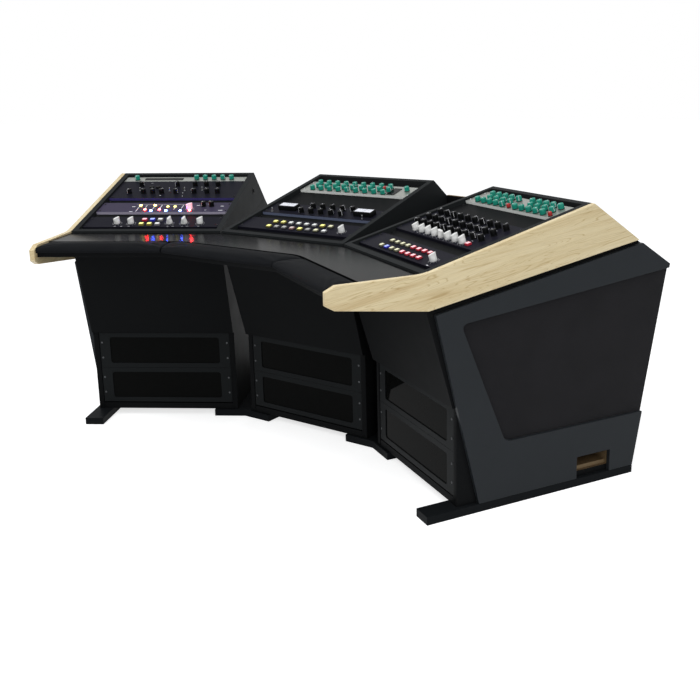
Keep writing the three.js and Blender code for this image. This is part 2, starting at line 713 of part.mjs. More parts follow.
// Blank panels and trim strips with their screws, on the two sloped rails of a bay
function rackFittings(side) {
  const face = -panelDrop;
  const behind = face - panelThickness;
  const solids = blanks[side].flatMap(({ low, height, screwed }) => [
    block([panelLeft, low, behind], [panelLeft + panelWidth, low + height, face]),
    ...(screwed ? screwsOnFace(low, height, panelScrewInset, face) : []),
  ]);
  for (const hand of [-1, 1]) {
    const profile = railProfile(hand).map(([x, level]) => [x, behind + level]);
    solids.push(alongY(profile, board + fit, slopeLength - board - fit));
  }
  slopeFrames[side].add(piece(`rack_fittings_${side}`, joined(...solids), finishes.blackMetal));
}

// A place on a unit's face from shares of its width and height
function facePoint(name, [acrossShare, upShare]) {
  const { low, height } = equipment[name];
  return [panelLeft + acrossShare * panelWidth, low + upShare * height];
}

// A unit's case: the face stands proud of the blank panels, the chassis hangs between the rails
const chassisDepth = 45;
const chassisInset = 20;

function unitCase({ low, height }) {
  const [left, right] = [panelLeft, panelLeft + panelWidth];
  const ear = fit - panelDrop - panelThickness;
  const deep = ear - chassisDepth;
  const profile = [[left, ear], [left + chassisInset, ear], [left + chassisInset, deep],
    [right - chassisInset, deep], [right - chassisInset, ear], [right, ear],
    [right, -equipmentDrop], [left, -equipmentDrop]];
  return alongY(profile, low, low + height);
}

// Fixed controls reach into the face and stand over it: knobs, toggle switches, lamps and key caps
const knobSides = 8;
const controls = {
  teal: { radius: 10, rise: 17 },
  black: { radius: 10, rise: 20 },
  red: { radius: 7, rise: 13 },
  cap: { radius: 9, rise: 8 },
  toggle: { radius: 3, rise: 14 },
  lamp: { radius: 6, rise: 4 },
};

const spread = (first, step, count) => Array.from({ length: count }, (_, i) => first + i * step);

// Rows of places, every other row moved on by half a step
const staggered = (columnShares, stepShare, rowShares) => rowShares.flatMap((up, row) =>
  columnShares.map((across) => [across + (row % 2 ? stepShare / 2 : 0), up]));

const grid = (columnShares, rowShares) => staggered(columnShares, 0, rowShares);

const mixerRowShares = [0.14, 0.43, 0.75];
const controlShares = {
  pointer_unit_left: {},
  lamp_unit_left: {
    lamp: [
      [0.305, 0.66], [0.417, 0.66], [0.521, 0.55], [0.577, 0.55],
      [0.363, 0.21], [0.473, 0.21], [0.415, 0.09], [0.529, 0.09], [0.639, 0.09], [0.711, 0.09],
    ],
    black: [[0.794, 0.61], [0.856, 0.61]],
  },
  knob_unit_left: {
    black: [
      ...[0.131, 0.245, 0.318, 0.39, 0.504, 0.649, 0.753, 0.836].map((across) => [across, 0.282]),
      ...[0.183, 0.473, 0.618, 0.711, 0.805].map((across) => [across, 0.704])],
    cap: [[0.276, 0.586], [0.328, 0.586]],
    toggle: [[0.2, 0.42], [0.44, 0.4], [0.56, 0.42], [0.7, 0.44]],
  },
  display_unit_left: { teal: [[0.099, 0.42], ...grid(spread(0.59, 0.0722, 5), [0.5])] },
  key_unit_centre: {},
  meter_unit_centre: {
    black: staggered(spread(0.34, 0.09, 5), 0.09, [0.26, 0.74]),
    toggle: [[0.39, 0.5], [0.57, 0.48], [0.66, 0.5], [0.08, 0.12], [0.9, 0.12]],
  },
  mixer_unit_centre: {
    teal: [...staggered(spread(0.107, 0.083, 9), 0.036, mixerRowShares), [0.929, 0.61]],
    red: [[0.735, 0.59]],
  },
  key_unit_right: {},
  channel_unit_right: { black: grid(spread(0.1, 0.087, 10), [0.332, 0.568, 0.816]) },
  mixer_unit_right: {
    teal: [
      ...grid([...spread(0.128, 0.074, 5), ...spread(0.572, 0.074, 5)], [mixerRowShares[0]]),
      ...grid([...spread(0.2, 0.08, 4), ...spread(0.668, 0.075, 4)], [mixerRowShares[1]]),
      ...grid([...spread(0.148, 0.077, 5), ...spread(0.611, 0.073, 5)], [mixerRowShares[2]])],
    red: [[0.498, mixerRowShares[0]], [0.942, mixerRowShares[0]]],
  },
};

function fixedControls(name) {
  return Object.entries(controlShares[name]).flatMap(([kind, places]) => {
    const { radius, rise } = controls[kind];
    const solid = drum(radius, radius, -equipmentDrop - seat, rise - equipmentDrop, knobSides);
    return places.map((shares) => solid.clone().translate(...facePoint(name, shares), 0));
  });
}

// Square caps: two rows of eight on the key units, and a lit one beside the channel knobs. The push
// buttons of the pointer unit have the same caps, in wells.
const capWidth = 17;
const capDepth = 15;
const capRise = 6.5;
const capTravel = 2.5;
const wellDepth = 6;
const wellSlack = 0.5;
const capRowShares = [0.225, 0.655];
const keyShares = grid(spread(0.266, 0.0705, 8), capRowShares);
const capShares = {
  key_unit_centre: keyShares, key_unit_right: keyShares, channel_unit_right: [[0.86, 0.118]],
};
const buttonShares = grid([0.423, 0.482, 0.541], capRowShares);

function squareCap([x, y], slack, below, rise) {
  const [halfWidth, halfDepth] = [capWidth / 2 + slack, capDepth / 2 + slack];
  return block([x - halfWidth, y - halfDepth, -equipmentDrop - below],
    [x + halfWidth, y + halfDepth, -equipmentDrop + rise]);
}

// Displays lie on the face, and each level meter is a raised housing with a window on top
const windowRise = 1.5;
const meterRise = 18;
const displayShares = {
  display_unit_left: [[[0.162, 0.28], [0.477, 0.7]]],
  mixer_unit_centre: [[[0.803, 0.1], [0.869, 0.77]]],
};
const meterShares = { meter_unit_centre: [[[0.113, 0.3], [0.272, 0.68]], [[0.8, 0.3], [0.955, 0.68]]] };

function raisedFields(name, fields, rise) {
  return (fields[name] ?? []).map(([lowShares, highShares]) => block(
    [...facePoint(name, lowShares), -equipmentDrop - seat],
    [...facePoint(name, highShares), -equipmentDrop + rise]));
}

function rackUnitBody(name) {
  const { low, height, side, finish } = equipment[name];
  const solid = joined(
    unitCase(equipment[name]),
    ...screwsOnFace(low, height, panelScrewInset, -equipmentDrop),
    ...fixedControls(name),
    ...raisedFields(name, displayShares, windowRise),
    ...raisedFields(name, meterShares, meterRise),
    ...(capShares[name] ?? []).map((shares) => squareCap(facePoint(name, shares), 0, seat, capRise)));
  const wells = name === 'pointer_unit_left' ? buttonShares : [];
  const geometry = cutBy(solid, wells.map((shares) =>
    squareCap(facePoint(name, shares), wellSlack, wellDepth, overrun)));
  slopeFrames[side].add(piece(name, geometry, finishes[finish]));
}

// Pointer knobs turn: round at the foot, and a fin above whose slanted top shows where it points
const pointerRadius = 11;
const pointerTopRadius = 12; // half the length of the fin
const pointerFinShare = 0.42; // the fin's thickness as a share of its length
const pointerRise = 24; // at the high side
const pointerFall = 4; // from there to the low side
const pointerSides = 16;

function pointerKnob() {
  const geometry = bare(drum(pointerRadius, pointerTopRadius, fit, pointerRise, pointerSides));
  const positions = geometry.getAttribute('position');
  for (let i = 0; i < positions.count; i += 1) {
    if (positions.getZ(i) > pointerRise / 2) {
      const fallShare = (pointerTopRadius - positions.getY(i)) / (2 * pointerTopRadius);
      positions.setX(i, positions.getX(i) * pointerFinShare);
      positions.setZ(i, pointerRise - pointerFall * fallShare);
    }
  }
  return geometry;
}

const pointerShares = {
  pointer_unit_left: [0.235, 0.338, 0.624, 0.732, 0.85].map((across) => [across, 0.36]),
  lamp_unit_left: [[0.701, 0.31]],
  key_unit_centre: [[0.89, 0.37]],
  key_unit_right: [[0.89, 0.36]],
  channel_unit_right: grid(spread(0.214, 0.083, 8), [0.12]),
};
// Where each knob points in the photograph: degrees from straight up the slope
const pointerTurns = {
  pointer_unit_left: [-40, -40, -10, -10, -50],
  lamp_unit_left: [-70],
  key_unit_centre: [-20],
  key_unit_right: [0],
  channel_unit_right: [0, 0, 0, -10, 90, -5, 0, 5],
};
const pointerNames = {
  pointer_unit_left: 'pointer_knob_left',
  lamp_unit_left: 'pointer_knob_lamps',
  key_unit_centre: 'pointer_knob_centre',
  key_unit_right: 'pointer_knob_right',
  channel_unit_right: 'channel_knob',
};

function pointerKnobs(unit) {
  pointerShares[unit].forEach((shares, i, { length }) => {
    const name = length > 1 ? `${pointerNames[unit]}_${i + 1}` : pointerNames[unit];
    const knob = piece(name, pointerKnob(), finishes.whitePlastic);
    knob.position.set(...facePoint(unit, shares), -equipmentDrop);
    knob.rotation.z = THREE.MathUtils.degToRad(pointerTurns[unit][i]);
    slopeFrames[equipment[unit].side].add(knob);
  });
}

// Push buttons stand in their wells with their travel below them
function pushButtons() {
  const below = wellDepth - capTravel - wellSlack;
  buttonShares.forEach((shares, i) => {
    const geometry = squareCap([0, 0], 0, below, capRise);
    const button = piece(`push_button_${i + 1}`, geometry, finishes.lampPlastic);
    button.position.set(...facePoint('pointer_unit_left', shares), 0);
    slopeFrames.left.add(button);
  });
}

const desk = new THREE.Group();
desk.add(...Object.values(bays));
for (const side of Object.keys(bays)) {
  rackBox(side);
  cabinet(side);
  glazedPanels(side);
  rackFittings(side);
}
for (const side of ['left', 'right']) {
  cheek(side);
  sideSkin(side);
  sideVent(side);
  footRail(side);
  desk.add(outerPad(side), jointPlate(side));
}
desk.add(centrePad(), deckPanel(), armrestBoard(), wedgePanel());
Object.keys(equipment).forEach(rackUnitBody);
Object.keys(pointerShares).forEach(pointerKnobs);
pushButtons();

export default desk;
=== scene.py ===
"""The finish of a three-bay studio desk: boards, glass, padding, rack panels, knobs and lit keys.

The desk's own frame is in metres: +X to the right of someone who sits at it, +Y away from them to
the back, and +Z up. The pieces are drawn in millimetres, in the frame of a bay or of its sloped
rack, as on a workshop drawing, and in_bay and on_slope carry them into the desk's frame.
"""

import math

import bmesh
import bpy
import numpy as np
from mathutils import Matrix, Vector


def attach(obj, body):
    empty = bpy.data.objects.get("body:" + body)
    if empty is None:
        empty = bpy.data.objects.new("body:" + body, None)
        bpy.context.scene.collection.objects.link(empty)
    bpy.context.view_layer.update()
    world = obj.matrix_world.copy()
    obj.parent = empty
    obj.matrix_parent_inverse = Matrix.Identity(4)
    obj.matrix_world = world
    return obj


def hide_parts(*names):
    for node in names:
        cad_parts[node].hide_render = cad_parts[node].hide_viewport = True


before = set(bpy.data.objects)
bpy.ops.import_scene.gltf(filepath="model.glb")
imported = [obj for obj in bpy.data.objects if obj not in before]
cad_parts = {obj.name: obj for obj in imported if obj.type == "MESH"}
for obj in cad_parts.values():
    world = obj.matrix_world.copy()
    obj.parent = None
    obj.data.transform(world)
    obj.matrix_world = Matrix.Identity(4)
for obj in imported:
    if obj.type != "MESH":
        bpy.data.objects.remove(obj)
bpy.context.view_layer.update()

# The view: a camera that stands to the right of the desk, a little above it, on a long lens.
# The picture is square, and the lens is shifted so that the desk lies left of the middle.
PICTURE = 700
FOCAL_PIXELS = 875.8
MIDDLE_PIXEL = (418.3, 281.8)
PITCH, YAW, ROLL = np.radians([12.354, 32.372, -0.476])
CAMERA_PLACE = (1.9062, -2.3248, 1.1802)

camera_data = bpy.data.cameras.new("view")
camera_data.sensor_width = 36
camera_data.lens = FOCAL_PIXELS * camera_data.sensor_width / PICTURE
camera_data.shift_x = 0.5 - MIDDLE_PIXEL[0] / PICTURE
camera_data.shift_y = MIDDLE_PIXEL[1] / PICTURE - 0.5
camera = bpy.data.objects.new("view", camera_data)
camera.matrix_world = (
    Matrix.Translation(CAMERA_PLACE) @ Matrix.Rotation(YAW, 4, "Z")
    @ Matrix.Rotation(math.pi / 2 - PITCH, 4, "X") @ Matrix.Rotation(ROLL, 4, "Z"))
bpy.context.scene.collection.objects.link(camera)
bpy.context.scene.camera = camera
bpy.context.scene.view_settings.view_transform = "Standard"


# The studio: a white floor that keeps the desk's shadow, and a white sweep all round it. A large
# soft lamp hangs over the desk, and weaker ones stand to its left and right.
MM = 0.001
WHITE = (1, 1, 1, 1)
FLOOR_REACH = 30.0


def shade(red, green, blue):
    """Screen colour, 0 to 255 for each part, as the linear colour that the shaders take."""
    screen = np.array([red, green, blue]) / 255
    linear = np.where(screen <= 0.04045, screen / 12.92, ((screen + 0.055) / 1.055) ** 2.4)
    return (*linear.tolist(), 1.0)


def fill(tree, node, *values, **named):
    """Sets or links a node's sockets, in order or by name. A name's underscores read as spaces."""
    for key, value in (*enumerate(values), *named.items()):
        socket = node.inputs[key if isinstance(key, int) else key.replace("_", " ")]
        if isinstance(value, bpy.types.NodeSocket):
            tree.links.new(value, socket)
        else:
            socket.default_value = value
    return node


def add(tree, kind, *values, **named):
    """A new node of a kind, its sockets filled."""
    return fill(tree, tree.nodes.new(kind), *values, **named)


class Finish:
    """A material being made. Its textures hang on the Object coordinate, called place."""

    def __init__(self, name):
        self.material = bpy.data.materials.new(name)
        self.material.use_nodes = True
        self.tree = self.material.node_tree
        self.place = add(self.tree, "ShaderNodeTexCoord").outputs["Object"]

    def turned(self, axes):
        """The place read along other directions: a rotation whose rows are the axes."""
        turn = add(self.tree, "ShaderNodeMapping", Vector=self.place)
        turn.inputs["Rotation"].default_value = Matrix(axes.tolist()).to_euler()
        return turn.outputs["Vector"]

    def noise(self, scale, detail=2, place=None, **more):
        """Smooth noise, from 0 to 1."""
        return add(self.tree, "ShaderNodeTexNoise", Vector=place or self.place, Scale=scale,
                   Detail=detail, **more).outputs["Fac"]

    def wave(self, direction, scale, distortion, place=None, **more):
        """Bands across a direction, from 0 to 1, pulled about by the distortion."""
        bands = add(self.tree, "ShaderNodeTexWave", Vector=place or self.place, Scale=scale,
                    Distortion=distortion, **more)
        bands.bands_direction = direction
        return bands.outputs["Fac"]

    def ranged(self, value, low, high, **ends):
        """A value from 0 to 1, or between other ends, brought to the range from low to high."""
        return add(self.tree, "ShaderNodeMapRange", Value=value, To_Min=low, To_Max=high,
                   **ends).outputs["Result"]

    def mixed(self, factor, low, high, blend="MIX"):
        """The colour that goes from low to high with the factor."""
        mix = add(self.tree, "ShaderNodeMix")
        mix.data_type, mix.blend_type = "RGBA", blend
        return fill(self.tree, mix, Factor=factor, A=low, B=high).outputs["Result"]

    def ramp(self, factor, *stops):
        """Colours at their positions on the way from 0 to 1, blended from each to the next."""
        ramp = add(self.tree, "ShaderNodeValToRGB", Fac=factor)
        elements = ramp.color_ramp.elements
        for end, stop in ((0, stops[0]), (-1, stops[-1])):
            elements[end].position, elements[end].color = stop
        for position, colour in stops[1:-1]:
            elements.new(position).color = colour
        return ramp.outputs["Color"]

    def relief(self, height, strength, depth, invert=False):
        """A bump, its depth in mm."""
        bump = add(self.tree, "ShaderNodeBump", Height=height, Strength=strength,
                   Distance=depth * MM)
        bump.invert = invert
        return bump.outputs["Normal"]

    def done(self, **sockets):
        """The material, the sockets of its main shader filled."""
        fill(self.tree, self.tree.nodes["Principled BSDF"], **sockets)
        return self.material


def seen_directly(tree):
    """1 for what the camera sees, also in a mirror or through glass, and 0 for light that
    scatters: the greatest of the three kinds of ray."""
    path = add(tree, "ShaderNodeLightPath")
    seen = path.outputs["Is Camera Ray"]
    for ray in ("Is Glossy Ray", "Is Transmission Ray"):
        either = add(tree, "ShaderNodeMath", seen, path.outputs[ray])
        either.operation = "MAXIMUM"
        seen = either.outputs[0]
    return seen


def studio_world():
    world = bpy.data.worlds.new("studio")
    world.use_nodes = True
    tree = world.node_tree
    tree.nodes.clear()
    sweep = add(tree, "ShaderNodeBackground", Color=WHITE)
    lighting = add(tree, "ShaderNodeBackground", Color=(0.94, 0.97, 1, 1), Strength=0.45)
    mix = add(tree, "ShaderNodeMixShader", seen_directly(tree), lighting.outputs[0],
              sweep.outputs[0])
    add(tree, "ShaderNodeOutputWorld", Surface=mix.outputs[0])
    return world


def floor_finish():
    """Pale matt paint. To the camera it also glows, so that only the desk's shadow darkens it."""
    finish = Finish("studio_floor")
    tree = finish.tree
    finish.done(Base_Color=finish.mixed(finish.noise(3), (0.80, 0.80, 0.80, 1),
                                        (0.84, 0.84, 0.84, 1)),
                Roughness=0.9, Specular_IOR_Level=0)
    paint = tree.nodes["Principled BSDF"].outputs[0]
    glow = add(tree, "ShaderNodeEmission", Strength=0.70)
    both = add(tree, "ShaderNodeAddShader", paint, glow.outputs[0])
    mix = add(tree, "ShaderNodeMixShader", seen_directly(tree), paint, both.outputs[0])
    fill(tree, tree.nodes["Material Output"], Surface=mix.outputs[0])
    return finish.material


def soft_lamp(name, place, aim, size, power):
    """A rectangular lamp at a place, in metres, that faces its aim. The power is in watts."""
    lamp = bpy.data.lights.new(name, "AREA")
    lamp.shape = "RECTANGLE"
    lamp.size, lamp.size_y = size
    lamp.energy = power
    holder = bpy.data.objects.new(name, lamp)
    holder.location = place
    holder.rotation_euler = (Vector(aim) - Vector(place)).to_track_quat("-Z", "Y").to_euler()
    bpy.context.scene.collection.objects.link(holder)


bpy.context.scene.world = studio_world()
floor_mesh = bpy.data.meshes.new("studio_floor")
floor_mesh.from_pydata(
    [(x * FLOOR_REACH, y * FLOOR_REACH, 0) for x, y in ((-1, -1), (1, -1), (1, 1), (-1, 1))],
    [], [(0, 1, 2, 3)])
floor_mesh.materials.append(floor_finish())
studio_floor = bpy.data.objects.new("studio_floor", floor_mesh)
bpy.context.scene.collection.objects.link(studio_floor)
soft_lamp("lamp_over", (0.2, -1.4, 3.4), (0, 0, 0.5), (3.2, 1.8), 62)
soft_lamp("lamp_left", (-3.2, -2.2, 2.3), (0, 0, 0.6), (1.8, 1.8), 24)
soft_lamp("lamp_right", (2.9, -2.2, 1.9), (0.9, 0, 0.4), (1.6, 1.6), 26)


# Rack boxes and cabinets: plywood boards with a satin black laminate, glued, their edges eased by
# hand. Three bays stand in an arc, turned by 30 degrees from one to the next. Where the cable notch
# cuts through an outer cabinet, the cut edges and the ledge behind it are bare plywood.
BAY_PITCH = 526
BAY_PLACES = {"left": (-718.53, -431.49, 30), "centre": (-263, -168.49, 0),
              "right": (263, -168.49, -30)}
SHARP_TURN = 35
TOUCHING = 0.01
GLOSS_SPREAD = 0.12
PORT_LOW, PORT_HIGH = np.array([1, 516, 42.9]), np.array([61, 661, 96])


def turning(degrees):
    """The matrix that turns rows of points about z, counter-clockwise from above."""
    c, s = math.cos(math.radians(degrees)), math.sin(math.radians(degrees))
    return np.array([[c, s, 0], [-s, c, 0], [0, 0, 1]])


def bay_axes(side):
    """Corner of a bay, in mm, and its three directions: across, back and up."""
    x, y, turn = BAY_PLACES[side]
    return np.array([x, y, 0]), turning(turn)


def in_bay(side, points):
    """From a bay's own millimetres to the desk's frame: corner + across x + back y + up z."""
    corner, axes = bay_axes(side)
    return (corner + np.asarray(points, float) @ axes) * MM


def bay_places(side, points):
    """The other way: points of the desk's frame in the bay's own millimetres."""
    corner, axes = bay_axes(side)
    return (np.asarray(points) / MM - corner) @ axes.T


def coat(name, colour, roughness, mottle=0.12, bump=0.06, grain_size=1.2, specular=0.05, **more):
    """A painted or moulded surface. Cloudy noise of a few centimetres moves tone and gloss by a
    share round their middle, and noise of the grain's size in mm is the bump."""
    finish = Finish(name)
    cloud = finish.noise(14, 4)
    low, high = ((*[min(1, part * share) for part in shade(*colour)[:3]], 1)
                 for share in (1 - mottle, 1 + mottle))
    return finish.done(
        Base_Color=finish.mixed(cloud, low, high),
        Roughness=finish.ranged(cloud, roughness * (1 - GLOSS_SPREAD),
                                min(1, roughness * (1 + GLOSS_SPREAD))),
        Normal=finish.relief(finish.noise(1 / (grain_size * MM)), bump, 0.2),
        Specular_IOR_Level=specular, **more)


def bare_plywood():
    """Birch ply: a wave along Z gives the level plies, pulled about by a little noise."""
    finish = Finish("bare_plywood")
    plies = finish.wave("Z", 130, 1.4, Detail=3)
    return finish.done(
        Base_Color=finish.ramp(plies, (0, shade(84, 64, 38)), (1, shade(128, 108, 76))),
        Roughness=0.7, Normal=finish.relief(plies, 0.2, 0.2))


def dress(piece, *nodes, slot=None, body="desk"):
    """Puts a finished piece on its body, in place of its CAD nodes. The slot is not used."""
    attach(piece, body)
    if nodes:
        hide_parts(*nodes)
    return piece


def finished(mesh, finishes, ease, turn=SHARP_TURN):
    """An object of a mesh, smooth over edges that turn by less than some degrees. The edges that
    turn by more than 35 are rounded, ease mm wide."""
    for finish in finishes:
        mesh.materials.append(finish)
    mesh.polygons.foreach_set("use_smooth", np.ones(len(mesh.polygons), bool))
    mesh.set_sharp_from_angle(angle=math.radians(turn))
    piece = bpy.data.objects.new(mesh.name, mesh)
    bpy.context.scene.collection.objects.link(piece)
    if ease:
        bevel = piece.modifiers.new("eased_edges", "BEVEL")
        bevel.width = ease * MM
        bevel.segments = 2
        bevel.limit_method = "ANGLE"
        bevel.angle_limit = math.radians(SHARP_TURN)
        bevel.harden_normals = True
    return piece


def weld(source, target, flatten=False):
    """Copies a mesh with the points that touch merged and, if asked, flat neighbours made one."""
    faces = bmesh.new()
    faces.from_mesh(source)
    bmesh.ops.remove_doubles(faces, verts=faces.verts, dist=TOUCHING * MM)
    if flatten:
        bmesh.ops.dissolve_limit(faces, angle_limit=math.radians(1), verts=faces.verts,
                                 edges=faces.edges)
    faces.to_mesh(target)
    faces.free()


def board_of(node, finishes, ease=1.0):
    """A node's own boards: loose triangles merged to flat faces, and edges eased."""
    mesh = bpy.data.meshes.new(node + "_dressed")
    weld(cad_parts[node].data, mesh, flatten=True)
    return finished(mesh, finishes, ease)


def board(node, slot, finish, ease=1.0):
    """A whole node's boards in one finish, dressed."""
    dress(board_of(node, [finish], ease), node, slot=slot)


def rows_of(things, what):
    """Three numbers for each point or face of a mesh, such as its centre or normal, as rows."""
    flat = np.empty(3 * len(things))
    things.foreach_get(what, flat)
    return flat.reshape(-1, 3)


def second_finish(piece, chosen):
    """Gives the piece's second material to the chosen faces."""
    piece.data.polygons.foreach_set("material_index", chosen.astype(np.int32))


box_laminate = coat("box_laminate", (36, 38, 39), 0.5, mottle=0.06, specular=0.015)
black_board = coat("black_board", (20, 21, 22), 0.5, mottle=0.08, specular=0.02)
bare_ply = bare_plywood()
for side in BAY_PLACES:
    board(f"rack_box_{side}", "black_board", box_laminate)
    cabinet = board_of(f"cabinet_{side}", [black_board, bare_ply])
    places = bay_places(side, rows_of(cabinet.data.polygons, "center"))
    if side == "right":
        places[:, 0] = BAY_PITCH - places[:, 0]
    if side != "centre":
        second_finish(cabinet, ((places > PORT_LOW) & (places < PORT_HIGH)).all(1))
    dress(cabinet, f"cabinet_{side}", slot="black_board")


# Side skins: black laminated boards on the outer sides, under the cheeks, each with a large window
# that is open to the back. A frame covered in black acoustic cloth fills the window, set in a
# little, and a grommet lines the cable hole in the left rack box.
HOLE_PLACE = np.array([524, 525, 790])
GROMMET = ((9, -16), (9, 0), (12, 0), (12.5, 0.8), (11.5, 1.8), (8.5, 1.6), (7.6, 0.4), (7.6, -16))


def acoustic_cloth(side):
    """Plain weave: the sum of two waves, one along each thread, 1.1 mm apart, is the height."""
    finish = Finish(f"acoustic_cloth_{side}")
    flat = finish.turned(bay_axes(side)[1])
    weave = add(finish.tree, "ShaderNodeMath",
                *[finish.wave(direction, 280, 0.6, flat) for direction in ("Y", "Z")])
    return finish.done(
        Base_Color=finish.ramp(finish.noise(9), (0, shade(20, 20, 22)), (1, shade(31, 30, 33))),
        Roughness=0.95, Normal=finish.relief(weave.outputs[0], 0.5, 0.3),
        Sheen_Weight=0.1, Specular_IOR_Level=0.1)


class Shape:
    """Points with faces in groups: (rows of corners, one finish number for each row)."""

    def __init__(self, points, groups):
        self.points, self.groups = np.asarray(points, float), groups

    def __add__(self, other):
        shifted = [(faces + len(self.points), finish) for faces, finish in other.groups]
        return Shape(np.vstack([self.points, other.points]), self.groups + shifted)

    def at(self, places):
        """A copy moved to each place, given as rows of x, y, z."""
        places = np.asarray(places, float).reshape(-1, 3)
        first = np.arange(len(places))[:, None, None] * len(self.points)
        groups = [((faces + first).reshape(-1, faces.shape[1]), np.tile(finish, len(places)))
                  for faces, finish in self.groups]
        return Shape((places[:, None] + self.points).reshape(-1, 3), groups)

    def turned(self, degrees):
        """Turned about its own z axis."""
        return Shape(self.points @ turning(degrees), self.groups)


def stacked(rings, finishes=0, closed=False):
    """A skin over rings of equal length, each counter-clockwise from above, from the lowest up.

    Point j of ring i joins point j + 1 of it and points j + 1 and j of the next ring. A closed
    stack runs on to its first ring, as a picture frame does; any other gets a face at each end.
    """
    rings = np.asarray(rings, float)
    count, corners = rings.shape[:2]
    bands = count if closed else count - 1
    i, j = np.arange(bands)[:, None] * corners, np.arange(corners)[None]
    above_i, beside_j = (i + corners) % (count * corners), (j + 1) % corners
    quads = np.stack([i + j, i + beside_j, above_i + beside_j, above_i + j], -1).reshape(-1, 4)
    finish = np.broadcast_to(finishes, bands)
    groups = [(quads, np.repeat(finish, corners))]
    if not closed:
        ends = np.array([np.arange(corners)[::-1], np.arange(corners) + (count - 1) * corners])
        groups.append((ends, finish[[0, -1]]))
    return Shape(rings.reshape(-1, 3), groups)


def oval(half_width, half_depth, height, sides=20):
    """A ring, level unless its height is a row: (half width cos t, half depth sin t, height)."""
    t = np.arange(sides) * 2 * np.pi / sides
    return np.column_stack([half_width * np.cos(t), half_depth * np.sin(t),
                            np.broadcast_to(height, sides)])


def turned_profile(profile, finishes=0, sides=20, closed=False):
    """A turned solid: a circle for each (radius, height) step of its profile."""
    return stacked([oval(radius, radius, height, sides) for radius, height in profile],
                   finishes, closed)


def piece_of(name, shape, place, finishes, ease=0, turn=SHARP_TURN):
    """An object from a shape. The place function carries its millimetres into the desk's frame."""
    mesh = bpy.data.meshes.new(name)
    faces = [row for rows, _ in shape.groups for row in rows.tolist()]
    mesh.from_pydata(place(shape.points).tolist(), [], faces)
    piece = finished(mesh, finishes, ease, turn)
    mesh.polygons.foreach_set(
        "material_index", np.concatenate([finish for _, finish in shape.groups]).astype(np.int32))
    return piece


def through_side(points):
    """The cable hole's frame, its axis along the bay's across direction: (z, x, y) + place."""
    return in_bay("left", points[:, [2, 0, 1]] + HOLE_PLACE)


skin_board = coat("skin_board", (40, 43, 46), 0.38, mottle=0.06, specular=0.08)
for side in ("left", "right"):
    board(f"side_skin_{side}", "black_board", skin_board)
    board(f"side_vent_{side}", "vent_cloth", acoustic_cloth(side), ease=0.6)
moulded_black = coat("moulded_black", (19, 20, 21), 0.45, mottle=0.1)
dress(piece_of("cable_grommet", turned_profile(GROMMET, sides=24, closed=True), through_side,
               [moulded_black]), slot="black_metal")


# Cheeks: solid maple boards, sanded and lacquered clear, their edges rounded. The grain runs from
# the armrest up to the back, with a flat-sawn figure, and end grain shows at the chamfered tip.
CHEEK_RISE = math.radians(10)
LINE_LEVELS = (0.36, 0.43, 0.48, 0.53, 0.59, 0.66)
LINE_SHARE, LINE_TONE = 0.006, (0.74, 0.66, 0.53, 1)
CAST_TONE = (0.92, 0.89, 0.84, 1)


def along_grain(finish, side, rise, shares):
    """The finish's place turned to run across a bay, up a rise and out of the sloping plane, each
    direction then multiplied by its share."""
    across, back, up = bay_axes(side)[1]
    uphill = math.cos(rise) * back + math.sin(rise) * up
    flat = finish.turned(np.array([across, uphill, np.cross(across, uphill)]))
    stretch = add(finish.tree, "ShaderNodeVectorMath", flat, shares)
    stretch.operation = "MULTIPLY"
    return stretch.outputs["Vector"]


def maple(side):
    """Pale wood, from four noises stretched along the grain: a bent one of many sizes for the
    rings, a wide one for the cast of the staves, a fine one for the pores, and a smooth one whose
    levels are drawn as thin brown lines."""
    finish = Finish(f"maple_{side}")
    grain = along_grain(finish, side, CHEEK_RISE, (5.0, 0.55, 9.0))
    rings = finish.noise(2.6, 8, grain, Roughness=0.62, Distortion=1.2)
    cast = finish.noise(1.5, 3, grain)
    pores = finish.noise(70, 6, grain)
    levels = finish.noise(3.4, 1.6, grain, Distortion=0.9)
    lines = [(level + offset, colour) for level in LINE_LEVELS for offset, colour in (
        (-LINE_SHARE, WHITE), (0, LINE_TONE), (LINE_SHARE, WHITE))]
    tone = finish.ramp(rings, (0.34, shade(208, 186, 142)), (0.48, shade(224, 207, 166)),
                       (0.66, shade(231, 216, 179)))
    for layer in (finish.ramp(cast, (0.35, WHITE), (0.7, CAST_TONE)),
                  finish.ranged(pores, 0.93, 1, From_Min=0.35, From_Max=0.6),
                  finish.ramp(levels, (0, WHITE), *lines, (1, WHITE))):
        tone = finish.mixed(1, tone, layer, "MULTIPLY")
    return finish.done(Base_Color=tone, Roughness=0.4, Normal=finish.relief(pores, 0.15, 0.2),
                       Specular_IOR_Level=0.35)


for side in ("left", "right"):
    board(f"cheek_{side}", "maple", maple(side), ease=2)


# Feet, joint plates, the board under the armrest and the filler panel behind the right joint. The
# feet are powder-coated steel. The filler panel's top edge is left bare.
FACING = 0.9
powder_coat = coat("powder_coat", (24, 26, 28), 0.45, mottle=0.1, bump=0.25, grain_size=0.7,
                   specular=0.02)
for node in ("foot_rail_left", "foot_rail_right", "joint_plate_left", "joint_plate_right"):
    board(node, "black_metal", powder_coat)
board("armrest_board", "black_board", black_board)
filler_panel = board_of("wedge_panel", [black_board, bare_ply])
second_finish(filler_panel, rows_of(filler_panel.data.polygons, "normal")[:, 2] > FACING)
dress(filler_panel, "wedge_panel", slot="black_board")


